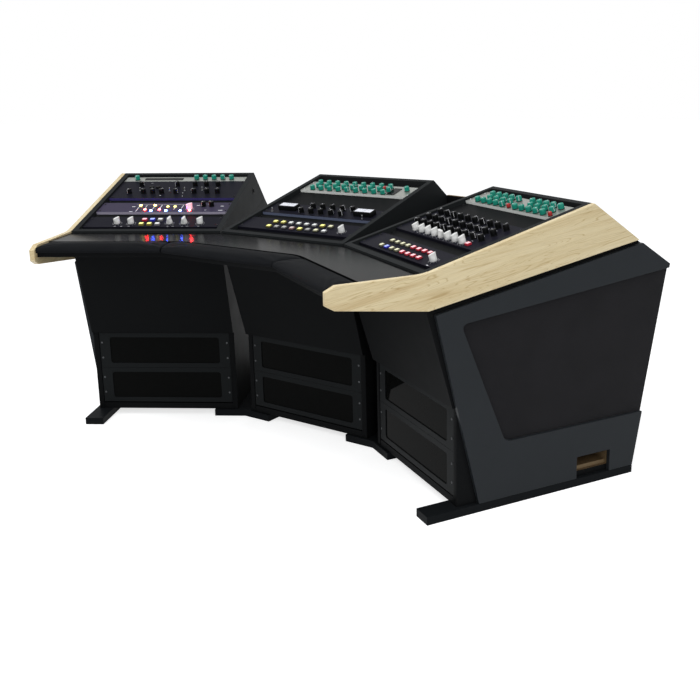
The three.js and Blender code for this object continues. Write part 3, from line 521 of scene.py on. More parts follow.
# Deck: one board in high gloss black lacquer, in which the lit keys and lamps are mirrored. The
# lacquer is polished flat, with only a faint long ripple and some fine wiping marks.
def gloss_lacquer():
    """Black lacquer: a very low long noise is the ripple, and a short one moves the roughness."""
    finish = Finish("gloss_lacquer")
    wipe = finish.noise(60, 6)
    return finish.done(
        Base_Color=finish.mixed(wipe, shade(13, 14, 15), shade(18, 19, 20)),
        Roughness=finish.ranged(wipe, 0.14, 0.2),
        Normal=finish.relief(finish.noise(25), 0.03, 0.5), Specular_IOR_Level=0.012)


board("deck_panel", "gloss_board", gloss_lacquer())


# Armrest pads: foam under black leatherette, drawn over the front of a board and stapled under it.
# The cover swells a little between its held edges, and is drawn in at the joints between the pads.
PAD_VOXEL = 4.5
PAD_SLACK = 1.2
PAD_SWELL = 4.5
HELD_BELOW, HELD_BACK = 691, 0.5
HELD_ENDS = {"left": 0.8, "centre": 0.55, "right": 0.8}
SETTLE_FRAMES = 20


def leatherette():
    """Embossed cover: small cells are the grain, and a wide soft noise the pull of the foam."""
    finish = Finish("leatherette")
    cells = add(finish.tree, "ShaderNodeTexVoronoi", Vector=finish.place, Scale=650)
    pull = finish.noise(16, 3)
    return finish.done(
        Base_Color=finish.ramp(pull, (0, shade(22, 23, 25)), (1, shade(28, 29, 31))),
        Roughness=finish.ranged(pull, 0.40, 0.54),
        Normal=finish.relief(cells.outputs["Distance"], 0.3, 0.25, invert=True),
        Specular_IOR_Level=0.005)


def evaluated_mesh(piece):
    return bpy.data.meshes.new_from_object(
        piece.evaluated_get(bpy.context.evaluated_depsgraph_get()))


def foam_blank(node):
    """The pad's own solid in an even net of small faces, drawn in by the slack of its cover:
    place - slack x normal."""
    blank = board_of(node, [], ease=0)
    net = blank.modifiers.new("net", "REMESH")
    net.mode = "VOXEL"
    net.voxel_size = PAD_VOXEL * MM
    mesh, old_mesh = evaluated_mesh(blank), blank.data
    drawn_in = rows_of(mesh.vertices, "co") - PAD_SLACK * MM * rows_of(
        mesh.vertex_normals, "vector")
    mesh.vertices.foreach_set("co", drawn_in.ravel())
    blank.modifiers.clear()
    blank.data = mesh
    bpy.data.meshes.remove(old_mesh)
    return blank


def swollen(pad, held):
    """Lets the cover swell under the foam's pressure, held at some points, by at most PAD_SWELL."""
    rest = rows_of(pad.data.vertices, "co")
    group = pad.vertex_groups.new(name="held")
    group.add(np.flatnonzero(held).tolist(), 1, "REPLACE")
    cloth = pad.modifiers.new("cover", "CLOTH")
    cloth.settings.quality = 6
    cloth.settings.mass = 0.3
    cloth.settings.bending_stiffness = 1.5
    cloth.settings.use_pressure = True
    cloth.settings.uniform_pressure_force = 4
    cloth.settings.vertex_group_mass = "held"
    cloth.settings.effector_weights.gravity = 0
    for step in range(1, SETTLE_FRAMES + 1):
        bpy.context.scene.frame_set(step)
    moved = evaluated_mesh(pad)
    shift = rows_of(moved.vertices, "co") - rest
    length = np.linalg.norm(shift, axis=1, keepdims=True)
    shift *= np.minimum(1, PAD_SWELL * MM / np.maximum(length, 1e-9))
    pad.modifiers.clear()
    pad.vertex_groups.clear()
    pad.data.vertices.foreach_set("co", (rest + shift).ravel())
    pad.data.update()
    bpy.data.meshes.remove(moved)
    bpy.context.scene.frame_set(1)


pad_cover = leatherette()
for side in BAY_PLACES:
    pad = foam_blank(f"armrest_pad_{side}")
    pad.data.materials.append(pad_cover)
    across, back, up = bay_axes(side)[1]
    facing = rows_of(pad.data.vertex_normals, "vector")
    held = ((rows_of(pad.data.vertices, "co")[:, 2] < HELD_BELOW * MM)
            | (facing @ back > HELD_BACK) | (np.abs(facing @ across) > HELD_ENDS[side]))
    swollen(pad, held)
    pad.data.polygons.foreach_set("use_smooth", np.ones(len(pad.data.polygons), bool))
    rounder = pad.modifiers.new("rounder", "SUBSURF")
    rounder.levels = rounder.render_levels = 1
    dress(pad, f"armrest_pad_{side}", slot="pad_cover")


# Lower racks: in each cabinet two steel frames, powder-coated black, with smoked panes behind them.
# They are screwed to two rack rails with zinc-plated socket screws.
LOWER_FRONT = 106.6
MIDDLE = BAY_PITCH / 2
PANEL_WIDTH = 482.6
FRAME_HEIGHT, FRAME_BASES = 132.75, (51.3, 184.65)
WINDOW, WINDOW_ROUND = (406, 98), 8
FRAME_THICK, PANE_THICK, PANE_LAP, FIT = 3, 4, 6, 0.05
RAIL_WALLS = (20.3, 505.7)
RAIL_ARM, RAIL_FLANGE, RAIL_THICK = 16, 28, 2
SCREW_COLUMNS = (30.5, 495.5)
FRAME_SCREW_INSET = 37.5


def rounded(size, cut, radius, height, centre=(0, 0), steps=4):
    """A level rectangle, its size less a cut, with quarter circles of r for corners:
    centre + (w/2 - r, d/2 - r) + r (cos t, sin t)."""
    half_width, half_depth = ((whole - cut) / 2 - radius for whole in size)
    t = np.linspace(0, np.pi / 2, steps + 1)
    corners = [np.column_stack([
        centre[0] + x * half_width + radius * np.cos(t + quarter * np.pi / 2),
        centre[1] + y * half_depth + radius * np.sin(t + quarter * np.pi / 2),
        np.full(len(t), height)])
        for quarter, (x, y) in enumerate([(1, 1), (-1, 1), (-1, -1), (1, -1)])]
    return np.vstack(corners)


def slab(low, high, radius=0.6, finishes=0):
    """A flat block between two opposite corners, its upright edges rounded."""
    low, high = np.array(low), np.array(high)
    return stacked([rounded((high - low)[:2], 0, radius, height, (low + high) / 2, steps=1)
                    for height in (low[2], high[2])], finishes)


def rack_rails(low, high, face):
    """Two angle strips along y from low to high, each a section of (x, height) corners: an arm
    under the panels' ends and a flange down the wall. The right one is the left one's mirror."""
    section = np.array([[0, 0], [RAIL_ARM, 0], [RAIL_ARM, -RAIL_THICK], [RAIL_THICK, -RAIL_THICK],
                        [RAIL_THICK, -RAIL_FLANGE], [0, -RAIL_FLANGE]])
    left, right = (stacked([np.column_stack([wall + hand * corners[:, 0], np.full(len(section), y),
                                             face + corners[:, 1]]) for y in (low, high)])
                   for wall, hand, corners in zip(RAIL_WALLS, (1, -1), (section, section[::-1])))
    return left + right


def socket_screw():
    """A pan head with a hexagon socket, 7 mm across and 2 mm high."""
    return turned_profile(((3.5, -1), (3.5, 1.0), (2.9, 1.7), (2.1, 2.0), (1.6, 2.0), (1.4, 0.8)),
                          sides=12)


def on_lower_rack(side):
    """Across, height and out of the frames' faces: (x, front - z, y) in the bay."""
    return lambda points: in_bay(side, np.column_stack(
        [points[:, 0], LOWER_FRONT - points[:, 2], points[:, 1]]))


def smoked_acrylic():
    """Polished sheet, so dark that little behind it shows, with dust as noise in its roughness."""
    finish = Finish("smoked_acrylic")
    dust = finish.noise(45, 6)
    return finish.done(
        Base_Color=finish.mixed(dust, (0.0036, 0.0038, 0.0036, 1), (0.0052, 0.0054, 0.0052, 1)),
        Roughness=finish.ranged(dust, 0.01, 0.04), Specular_IOR_Level=0.014)


frame_steel = coat("frame_steel", (30, 32, 33), 0.42, mottle=0.06, bump=0.2, grain_size=0.7,
                   specular=0.03)
zinc_steel = coat("zinc_steel", (84, 86, 88), 0.35, mottle=0.1, Metallic=0.9)
smoked_sheet = smoked_acrylic()
for side in BAY_PLACES:
    on_face = on_lower_rack(side)
    frames, panes = [], []
    for base in FRAME_BASES:
        middle = np.array([MIDDLE, base + FRAME_HEIGHT / 2])
        outer, inner = ([rounded(size, 0, radius, z, middle) for z in (-FRAME_THICK, 0)]
                        for size, radius in (((PANEL_WIDTH, FRAME_HEIGHT), 1.0),
                                             (WINDOW, WINDOW_ROUND)))
        frames.append(stacked([*outer, *inner[::-1]], closed=True))
        reach = np.array(WINDOW) / 2 + PANE_LAP
        panes.append(slab((*(middle - reach), -FRAME_THICK - PANE_THICK),
                          (*(middle + reach), -FRAME_THICK - FIT)))
    rails = rack_rails(FRAME_BASES[0], FRAME_BASES[1] + FRAME_HEIGHT, -FRAME_THICK - FIT)
    dress(piece_of(f"lower_frames_{side}", frames[0] + frames[1] + rails, on_face, [frame_steel],
                   ease=0.6), f"glazed_panels_{side}", slot="black_metal")
    dress(piece_of(f"smoked_panes_{side}", panes[0] + panes[1], on_face, [smoked_sheet], ease=0.4))
    places = [(x, base + y, 0) for x in SCREW_COLUMNS for base in FRAME_BASES
              for y in (FRAME_SCREW_INSET, FRAME_HEIGHT - FRAME_SCREW_INSET)]
    dress(piece_of(f"lower_screws_{side}", socket_screw().at(places), on_face, [zinc_steel]))


# Sloped racks: steel rails down both walls, with blank panels and trim strips of sheet steel in
# satin black between the equipment. Black socket screws hold the blank panels.
SLOPE = math.radians(15.2)
FRONT_RISE = 712
RACK_UNIT, ROW_GAP = 44.45, 0.3
PANEL_LEFT = MIDDLE - PANEL_WIDTH / 2
PANEL_RIGHT = PANEL_LEFT + PANEL_WIDTH
SLOPE_START, SLOPE_END, LEAST_STRIP = 18.3, 551.1, 5
BLANK_FACE, BLANK_THICK, UNIT_FACE = -15, 3, -6
SCREW_INSET = 15
RACKS = {
    "left": (29.7, [("pointer_unit_left", 2), ("", 1), ("lamp_unit_left", 2), ("", 1),
                    ("knob_unit_left", 4), ("display_unit_left", 1)]),
    "centre": (41.7, [("key_unit_centre", 2), ("", 1), ("meter_unit_centre", 2), ("", 3),
                      ("mixer_unit_centre", 2), ("", 1)]),
    "right": (25.7, [("key_unit_right", 2), ("", 1), ("channel_unit_right", 4), ("", 2),
                     ("mixer_unit_right", 2)]),
}


def on_slope(side):
    """Across, up the slope and out of it, in the bay: (x, y cos s - z sin s, rise + y sin s +
    z cos s), where s is the slope."""
    c, s = math.cos(SLOPE), math.sin(SLOPE)
    return lambda points: in_bay(side, np.column_stack([
        points[:, 0], points[:, 1] * c - points[:, 2] * s,
        FRONT_RISE + points[:, 1] * s + points[:, 2] * c]))


def fit(name, shape, side, *finishes):
    """A piece on a sloped rack that stands for no CAD node of its own."""
    return dress(piece_of(name, shape, on_slope(side), finishes))


def rack_rows(side):
    """Name, lower edge and height of everything in a sloped rack, trim strips included."""
    strip, rows = RACKS[side]
    found, low = [("strip", SLOPE_START, strip - ROW_GAP)], SLOPE_START + strip
    for name, units in rows:
        found.append((name, low, units * RACK_UNIT - ROW_GAP))
        low += units * RACK_UNIT
    rest = SLOPE_END - low
    return found + ([("strip", low, rest)] if rest > LEAST_STRIP else [])


def screw_places(low, height, face):
    return [(x, y, face) for x in SCREW_COLUMNS
            for y in (low + SCREW_INSET, low + height - SCREW_INSET)]


satin_panel = coat("satin_panel", (20, 21, 22), 0.46, mottle=0.07, bump=0.15, grain_size=0.8,
                   specular=0.012)
black_steel = coat("black_steel", (40, 41, 42), 0.35, mottle=0.1, Metallic=0.8)
for side in BAY_PLACES:
    sheets, screws = rack_rails(SLOPE_START, SLOPE_END, BLANK_FACE - BLANK_THICK - FIT), []
    for name, low, height in rack_rows(side):
        if name in ("", "strip"):
            sheets += slab((PANEL_LEFT, low, BLANK_FACE - BLANK_THICK),
                           (PANEL_RIGHT, low + height, BLANK_FACE))
        if name == "":
            screws += screw_places(low, height, BLANK_FACE)
    dress(piece_of(f"blank_panels_{side}", sheets, on_slope(side), [satin_panel], ease=0.5),
          f"rack_fittings_{side}", slot="black_metal")
    fit(f"blank_screws_{side}", socket_screw().at(screws), side, black_steel)


# Rack units: folded steel cases with a thick front panel, in satin navy or violet paint or brushed
# aluminium. Steel screws hold them. The low unit on the left has wells for six push buttons. The
# lower front edge of the panel of each silver unit and of three others, which faces down the slope,
# is painted far lighter than the face: a painted highlight.
CASE_BACK, EAR_BACK, CASE_INSET = -62.7, -17.7, 20
CAP_SIZE = (17, 15)
WELL_SLACK, WELL_DEPTH = 0.5, 6
CAP_ROWS = (0.225, 0.655)
BUTTON_SHARES = [(x, y) for y in CAP_ROWS for x in (0.423, 0.482, 0.541)]
UNITS = {name: (side, low, height) for side in RACKS for name, low, height in rack_rows(side)
         if name not in ("", "strip")}


def unit_point(name, x_share, y_share):
    """A place on a unit's face: its lower left corner + shares of its width and height."""
    _, low, height = UNITS[name]
    return PANEL_LEFT + x_share * PANEL_WIDTH, low + y_share * height


def unit_places(name, shares):
    return [(*unit_point(name, x, y), UNIT_FACE) for x, y in shares]


def stepped_block(x_lines, y_lines, tops, bottom):
    """A block whose top steps between grid lines. Each cell gives a level face at its own height,
    and each line between two heights an upright one, from the lower height to the higher."""
    def grid(x, y):
        return (lines.ravel() for lines in np.meshgrid(x, y, indexing="ij"))

    def upright(before, after, near, far):
        """Faces along the lines on which the height before differs from the height after."""
        a, b = before.ravel(), after.ravel()
        step = a != b
        return [(x[step], y[step], z[step]) for (x, y), z in (
            (near, b), (far, b), (far, a), (near, a))]

    (x0, y0), (x1, y1) = grid(x_lines[:-1], y_lines[:-1]), grid(x_lines[1:], y_lines[1:])
    top, low = tops.ravel(), np.full(tops.size, bottom)
    edges = np.pad(tops, 1, constant_values=bottom)
    (xa, ya), (xb, yb) = grid(x_lines, y_lines[:-1]), grid(x_lines, y_lines[1:])
    (xc, yc), (xd, yd) = grid(x_lines[:-1], y_lines), grid(x_lines[1:], y_lines)
    quads = [[(x0, y0, top), (x1, y0, top), (x1, y1, top), (x0, y1, top)],
             [(x0, y1, low), (x1, y1, low), (x1, y0, low), (x0, y0, low)],
             upright(edges[:-1, 1:-1], edges[1:, 1:-1], (xa, ya), (xb, yb)),
             upright(edges[1:-1, :-1], edges[1:-1, 1:], (xd, yd), (xc, yc))]
    points = np.vstack([np.stack([np.column_stack(corner) for corner in quad], 1).reshape(-1, 3)
                        for quad in quads])
    faces = np.arange(len(points)).reshape(-1, 4)
    return Shape(points, [(faces, np.zeros(len(faces), int))])


def welled_panel(name):
    """The front panel of the unit with push buttons: a block, stepped down at each well."""
    _, low, height = UNITS[name]
    x_lines, y_lines = [PANEL_LEFT, PANEL_RIGHT], [low, low + height]
    for x, y, _ in unit_places(name, BUTTON_SHARES):
        for lines, middle, size in ((x_lines, x, CAP_SIZE[0]), (y_lines, y, CAP_SIZE[1])):
            lines += [middle - size / 2 - WELL_SLACK, middle + size / 2 + WELL_SLACK]
    x_lines, y_lines = np.unique(np.round(x_lines, 4)), np.unique(np.round(y_lines, 4))
    tops = np.full((len(x_lines) - 1, len(y_lines) - 1), float(UNIT_FACE))
    tops[1:6:2, 1:4:2] -= WELL_DEPTH
    return stepped_block(x_lines, y_lines, tops, EAR_BACK)


def brushed_aluminium(side):
    """Anodised sheet: noise, long across the panel and very short up it, moves tone and gloss."""
    finish = Finish(f"brushed_aluminium_{side}")
    brush = finish.noise(1, 3, along_grain(finish, side, SLOPE, (12, 1400, 1400)))
    return finish.done(
        Base_Color=finish.mixed(brush, shade(138, 141, 136), shade(166, 169, 163)),
        Roughness=finish.ranged(brush, 0.32, 0.48), Normal=finish.relief(brush, 0.1, 0.1),
        Metallic=0.75)


navy = coat("navy_paint", (26, 26, 34), 0.42, mottle=0.08, bump=0.15, grain_size=0.7,
            specular=0.012)
violet = coat("violet_paint", (60, 55, 74), 0.40, mottle=0.08, bump=0.15, grain_size=0.7,
              specular=0.02)
# Painted highlight: the lips, the lower front edges of the panels that face down the slope, get
# colours far lighter than the faces, for the light that falls on them.
silver_painted_highlight_lip = coat("silver_painted_highlight_lip", (226, 228, 224), 0.35, mottle=0.04)
painted_highlight_lips = {
    "lamp_unit_left": coat("pale_violet_painted_highlight_lip", (172, 166, 184), 0.4),
    "knob_unit_left": coat("violet_painted_highlight_lip", (66, 60, 116), 0.4),
    "meter_unit_centre": coat("slate_painted_highlight_lip", (98, 106, 128), 0.4),
}
aluminium = {side: brushed_aluminium(side) for side in BAY_PLACES}
bright_steel = coat("bright_steel", (168, 170, 172), 0.28, mottle=0.1, Metallic=1.0)
for name, (side, low, height) in UNITS.items():
    silver = name.startswith(("display", "mixer"))
    face, slot = (aluminium[side], "silver_panel") if silver else (
        (violet, "violet_panel") if name == "lamp_unit_left" else (navy, "navy_panel"))
    front = welled_panel(name) if name == "pointer_unit_left" else slab(
        (PANEL_LEFT, low, EAR_BACK), (PANEL_RIGHT, low + height, UNIT_FACE), radius=1)
    case = slab((PANEL_LEFT + CASE_INSET, low, CASE_BACK),
                (PANEL_RIGHT - CASE_INSET, low + height, EAR_BACK))
    lip = silver_painted_highlight_lip if silver else painted_highlight_lips.get(name, face)
    unit = piece_of(f"{name}_case", front + case, on_slope(side), [face, lip], ease=0.9)
    weld(unit.data, unit.data)
    # Faces that face down the slope take the second finish, the lip: a painted highlight on the
    # silver units and three others.
    facing_back = rows_of(unit.data.polygons, "normal") @ bay_axes(side)[1][1]
    second_finish(unit, facing_back < -FACING)
    dress(unit, name, slot=slot)
    fit(f"{name}_screws", socket_screw().at(screw_places(low, height, UNIT_FACE)), side,
        bright_steel if silver else black_steel)


# Print on the panels: plain white lines, a tenth of a millimetre thick, as silk-screened scales
# round the pointer knobs, dashes under them and guide lines between the lamps. It has no words.
PRINT_THICK, PRINT_SUNK = 0.12, 0.02
KNOB_STOP = 150


def joined(shapes):
    """One shape of several."""
    first, *rest = shapes
    return sum(rest, first)


def line_print(length, width, degrees=0):
    return slab((-length / 2, -width / 2, -PRINT_SUNK), (length / 2, width / 2, PRINT_THICK),
                0.05).turned(degrees)


def ray_prints(length, width, radius, turns, centre=(0, 0, 0)):
    """Short lines round a centre, each pointing at it: centre + radius (-sin turn, cos turn)."""
    return joined([line_print(length, width, 90 + math.degrees(turn)).at(
        (centre[0] - radius * math.sin(turn), centre[1] + radius * math.cos(turn), centre[2]))
        for turn in np.radians(turns)])


def staggered(columns, step, rows):
    """Rows of places, every other row moved on by half a step."""
    return [(x + (step / 2 if row % 2 else 0), y) for row, y in enumerate(rows) for x in columns]


def spread(first, step, count):
    return [first + i * step for i in range(count)]


POINTER_SHARES = {
    "pointer_unit_left": [(x, 0.36) for x in (0.235, 0.338, 0.624, 0.732, 0.85)],
    "lamp_unit_left": [(0.701, 0.31)],
    "key_unit_centre": [(0.89, 0.37)],
    "key_unit_right": [(0.89, 0.36)],
    "channel_unit_right": [(x, 0.12) for x in spread(0.214, 0.083, 8)],
}
DASHES = {
    "pointer_unit_left": [(x, 0.07, 7, 1.4, 0) for x in (
        0.235, 0.283, 0.338, 0.624, 0.66, 0.732, 0.768, 0.85)],
    "lamp_unit_left": [
        *[(x, y, length, 2.4, 90) for x, y, length in (
            (0.298, 0.32, 44), (0.351, 0.6, 24), (0.415, 0.42, 32), (0.467, 0.56, 36),
            (0.58, 0.42, 28), (0.633, 0.56, 32))],
        (0.46, 0.79, 182, 1.2, 0), (0.262, 0.06, 12, 4, 0), (0.255, 0.58, 12, 4, 0),
        (0.75, 0.69, 12, 3, 0), (0.937, 0.61, 12, 4, 0), (0.941, 0.17, 16, 4, 0),
        (0.825, 0.84, 8, 2.4, 0), (0.825, 0.2, 8, 2.4, 0)],
    "knob_unit_left": [
        (0.286, 0.56, 8, 1.4, 0), (0.328, 0.54, 8, 1.4, 0),
        *[(x, y, 3, 3, 0) for x, y in ((0.39, 0.16), (0.571, 0.12), (0.556, 0.3), (0.741, 0.27))],
        (0.245, 0.88, 6, 1.4, 0), (0.6, 0.88, 6, 1.4, 0)],
    "key_unit_right": [(0.914, 0.05, 9, 3, 0)],
    "meter_unit_centre": [(x, 0.9, 7, 1.2, 0) for x in spread(0.34, 0.09, 5)],
    "channel_unit_right": [(x, y, 6, 1.4, 0) for x in spread(0.13, 0.087, 9)
                           for y in (0.25, 0.48, 0.72, 0.93)],
    "mixer_unit_centre": [(x, 0.46, 6, 5, 0) for x in spread(0.152, 0.083, 8)],
    "mixer_unit_right": [(x, 0.05, 5, 3, 0) for x in spread(0.128, 0.148, 6)],
}
print_white = coat("print_white", (232, 232, 236), 0.5, mottle=0.04)
scale_print = ray_prints(3, 1, 15.4, np.linspace(-KNOB_STOP, KNOB_STOP, 11))
for name, (side, low, height) in UNITS.items():
    printed = [line_print(length, width, turn).at(unit_places(name, [(x, y)]))
               for x, y, length, width, turn in DASHES.get(name, [])]
    if name in POINTER_SHARES:
        printed.append(scale_print.at(unit_places(name, POINTER_SHARES[name])))
    if printed:
        fit(f"{name}_print", joined(printed), side, print_white)


# Small knobs: moulded caps on a black skirt, fluted round the side, with a white line on top. The
# mixers have teal and a few red ones, the others black. Toggle switches have a nut and a steel bat.
FLUTES, FLUTE_SHARE = 9, 0.07
KNOB_SIDES = 27
KNOB_SIZES = {"teal": (10, 17), "black": (10, 20), "red": (7, 13)}
KNOB_STEP = 67
FRONT_ROW, MIDDLE_ROW, BACK_ROW = 0.14, 0.43, 0.75
KNOB_SHARES = {
    ("display_unit_left", "teal"): [(0.099, 0.42), *[(x, 0.5) for x in spread(0.59, 0.0722, 5)]],
    ("mixer_unit_centre", "teal"): [
        *staggered(spread(0.107, 0.083, 9), 0.036, [FRONT_ROW, MIDDLE_ROW, BACK_ROW]),
        (0.929, 0.61)],
    ("mixer_unit_centre", "red"): [(0.735, 0.59)],
    ("mixer_unit_right", "teal"): [
        *[(x, FRONT_ROW) for x in spread(0.128, 0.074, 5) + spread(0.572, 0.074, 5)],
        *[(x, MIDDLE_ROW) for x in spread(0.2, 0.08, 4) + spread(0.668, 0.075, 4)],
        *[(x, BACK_ROW) for x in spread(0.148, 0.077, 5) + spread(0.611, 0.073, 5)]],
    ("mixer_unit_right", "red"): [(0.498, FRONT_ROW), (0.942, FRONT_ROW)],
    ("lamp_unit_left", "black"): [(0.794, 0.61), (0.856, 0.61)],
    ("knob_unit_left", "black"): [
        *[(x, 0.282) for x in (0.131, 0.245, 0.318, 0.39, 0.504, 0.649, 0.753, 0.836)],
        *[(x, 0.704) for x in (0.183, 0.473, 0.618, 0.711, 0.805)]],
    ("meter_unit_centre", "black"): staggered(spread(0.34, 0.09, 5), 0.09, [0.26, 0.74]),
    ("channel_unit_right", "black"): staggered(spread(0.1, 0.087, 10), 0, [0.332, 0.568, 0.816]),
}
TOGGLE_SHARES = {
    "knob_unit_left": [(0.2, 0.42), (0.44, 0.4), (0.56, 0.42), (0.7, 0.44)],
    "meter_unit_centre": [(0.39, 0.5), (0.57, 0.48), (0.66, 0.5), (0.08, 0.12), (0.9, 0.12)],
}
BAT_LEAN = np.array([[1, 0, 0], [0, 1, 0], [0, 0.22, 1]])


def fluted(radius, height):
    """A ring with flutes: r (1 - share (1 + cos(9 t)) / 2)."""
    t = np.arange(KNOB_SIDES) * 2 * np.pi / KNOB_SIDES
    r = radius * (1 - FLUTE_SHARE * (1 + np.cos(FLUTES * t)) / 2)
    return oval(r, r, height, KNOB_SIDES)


def small_knob(radius, rise):
    """Skirt, fluted body and dished top. Finish 0 is the cap's colour, 1 the skirt, 2 the line."""
    skirt = turned_profile([(radius, -0.5), (radius, 1.4), (radius - 0.7, 2)], 1, KNOB_SIDES)
    body = stacked([fluted(radius - cut, height) for cut, height in (
        (0.3, 1.9), (0.5, rise - 3.4), (1, rise - 1.6))])
    crown = turned_profile([(radius - cut, rise - drop) for cut, drop in (
        (1.4, 1.7), (2.2, 0.4), (3, 0), (3.8, 0.5))], 0, KNOB_SIDES)
    line = slab((-0.6, 0.6, rise - 0.6), (0.6, radius - 2.6, rise + 0.05), 0.1, 2)
    side_line = slab((-0.6, radius - 1.2, 3), (0.6, radius - 0.3, rise - 2.4), 0.1, 2)
    return joined([skirt, body, crown, line, side_line])


skirt_black = coat("skirt_black", (20, 21, 22), 0.4, mottle=0.1)
black_plastic = coat("black_plastic", (12, 13, 14), 0.32, mottle=0.15, specular=0.1)
knob_plastic = {
    "teal": coat("teal_plastic", (24, 136, 116), 0.36, specular=0.3),
    "red": coat("red_plastic", (168, 44, 42), 0.36, specular=0.3),
    "black": black_plastic,
}
for (name, colour), shares in KNOB_SHARES.items():
    knob = small_knob(*KNOB_SIZES[colour])
    knobs = joined([knob.turned(KNOB_STOP - i * KNOB_STEP % (2 * KNOB_STOP)).at(place)
                    for i, place in enumerate(unit_places(name, shares))])
    fit(f"{name}_{colour}_knobs", knobs, UNITS[name][0], knob_plastic[colour], skirt_black,
        print_white)

nut = turned_profile([(3.4, -0.5), (3.4, 2.2), (2.4, 2.6)], sides=6)
bat = turned_profile([(1.4, 2), (1.5, 3), (2.3, 12), (2.2, 13.4), (1.2, 14)], sides=12)
toggle = nut + Shape(bat.points @ BAT_LEAN, bat.groups)
for name, shares in TOGGLE_SHARES.items():
    fit(f"{name}_toggles", toggle.at(unit_places(name, shares)), UNITS[name][0], bright_steel)
round_cap = turned_profile([(9, -0.5), (9, 5.4), (8.2, 7.2), (6, 8), (3, 7.8)], sides=24)
fit("knob_unit_left_round_caps", round_cap.at(unit_places(
    "knob_unit_left", [(0.276, 0.586), (0.328, 0.586)])), "left", moulded_black)


# Lamps: clear coloured domes, lit from inside, each in a skirt of the same plastic that glows less.
# They are small and bright, and the polished deck in front mirrors them as coloured streaks.
LAMPS = {
    "warm": ((255, 222, 120), 20, [(0.305, 0.66), (0.417, 0.66)]),
    "pale": ((226, 220, 120), 5, [(0.521, 0.55), (0.577, 0.55)]),
    "red": ((255, 42, 40), 240, [(0.363, 0.21), (0.473, 0.21), (0.711, 0.09)]),
    "blue": ((60, 84, 255), 200, [(0.415, 0.09), (0.529, 0.09), (0.639, 0.09)]),
}
SKIRT_GLOW = 1.6


def lit_plastic(name, colour, glow):
    """Coloured plastic with light behind it: noise moves its tone, and the glow is its own."""
    return coat(name, colour, 0.32, mottle=0.1, specular=0.4, Emission_Color=shade(*colour),
                Emission_Strength=glow)


lens = turned_profile([(4.5, 0.5), (4.4, 2.4), (3.6, 3.5), (2.2, 4), (0.8, 4.1)])
skirt = turned_profile([(6, -0.5), (6, 1.4), (5.5, 2.2), (4.6, 2.4), (4.5, -0.5)], closed=True)
for colour, (light, glow, shares) in LAMPS.items():
    places = unit_places("lamp_unit_left", shares)
    fit(f"{colour}_lamps", lens.at(places), "left", lit_plastic(f"{colour}_lens", light, glow))
    fit(f"{colour}_lamp_skirts", skirt.at(places), "left",
        lit_plastic(f"{colour}_lamp_skirt", light, SKIRT_GLOW))


# Keys: square caps of translucent plastic over lamps, slightly dished, each in a black bezel. Lit
# ones are yellow, red or blue; the others show the cream, white or grey of the plastic. The sides
# of all caps are painted darker than the tops, as painted shade, and the unlit cream, white and
# blush caps are given a faint glow, which is painted light.
# Each colour: the side, painted darker as painted shade, the top, and the glow. The glow of the
# unlit cream, white and blush caps is painted light.
KEY_COLOURS = {
    "yellow": ((112, 104, 40), (248, 244, 140), 0.4),
    "cream": ((92, 90, 68), (226, 224, 186), 0.1),
    "white": ((110, 110, 112), (230, 232, 230), 0.1),
    "grey": ((80, 80, 82), (172, 172, 168), 0),
    "blush": ((110, 76, 76), (204, 184, 180), 0.05),
    "red": ((150, 8, 34), (255, 190, 198), 0.35),
    "blue": ((20, 26, 150), (160, 176, 255), 0.35),
}
KEY_SHARES = [(x, y) for y in CAP_ROWS for x in spread(0.266, 0.0705, 8)]
KEY_ROWS = {
    "key_unit_centre": "yellow grey grey blush yellow grey cream white "
                       "yellow yellow white white white white yellow cream",
    "key_unit_right": "cream blue cream cream red red red red "
                      "cream cream cream cream red red red red",
}
KEY_RISE = 6.5
key_plastic = {colour: [lit_plastic(f"{colour}_key", shaded_side, glow / 2),
                        lit_plastic(f"{colour}_key_top", top, glow)]
               for colour, (shaded_side, top, glow) in KEY_COLOURS.items()}


def key_cap(bottom=-0.5, rise=KEY_RISE):
    """A cap: rounded rectangles from its foot up, stepped in at the edge of its dished top, which
    has the second finish. Its sides have the first finish, made darker as painted shade."""
    steps = ((0, 1.2, bottom), (0, 1.4, rise - 1.8), (1.6, 1.6, rise - 0.4), (2.4, 1.8, rise),
             (4.4, 2.2, rise - 0.2), (8, 2.6, rise - 0.4))
    return stacked([rounded(CAP_SIZE, *step) for step in steps], [0, 0, 0, 1, 1])


def key_bezel():
    """A thin frame on the panel round a cap: rounded rectangles a little larger than it."""
    steps = ((3, -0.5), (3, 1.0), (2.2, 1.6), (0.5, 1.6), (0.5, -0.5))
    return stacked([rounded(CAP_SIZE, -more, 1.5, height) for more, height in steps], closed=True)


for name, colours in KEY_ROWS.items():
    places, side = unit_places(name, KEY_SHARES), UNITS[name][0]
    for colour in dict.fromkeys(colours.split()):
        chosen = [place for place, key in zip(places, colours.split()) if key == colour]
        fit(f"{name}_{colour}_keys", key_cap().at(chosen), side, *key_plastic[colour])
    fit(f"{name}_bezels", key_bezel().at(places), side, moulded_black)
fit("channel_unit_right_key", key_cap().at(unit_places("channel_unit_right", [(0.86, 0.118)])),
    "right", *key_plastic["red"])


# Displays and level meters. A display is dark glass in a thin frame on the panel. A level meter is
# a raised black housing whose top is a lit pale dial with a scale and a needle.
DISPLAYS = {
    "display_unit_left": ((0.162, 0.28), (0.477, 0.7)),
    "mixer_unit_centre": ((0.803, 0.1), (0.869, 0.77)),
}
METERS = (((0.113, 0.3), (0.272, 0.68)), ((0.8, 0.3), (0.955, 0.68)))
METER_TOP = UNIT_FACE + 18
SCALE_RADIUS, SCALE_DROP = 24, 13


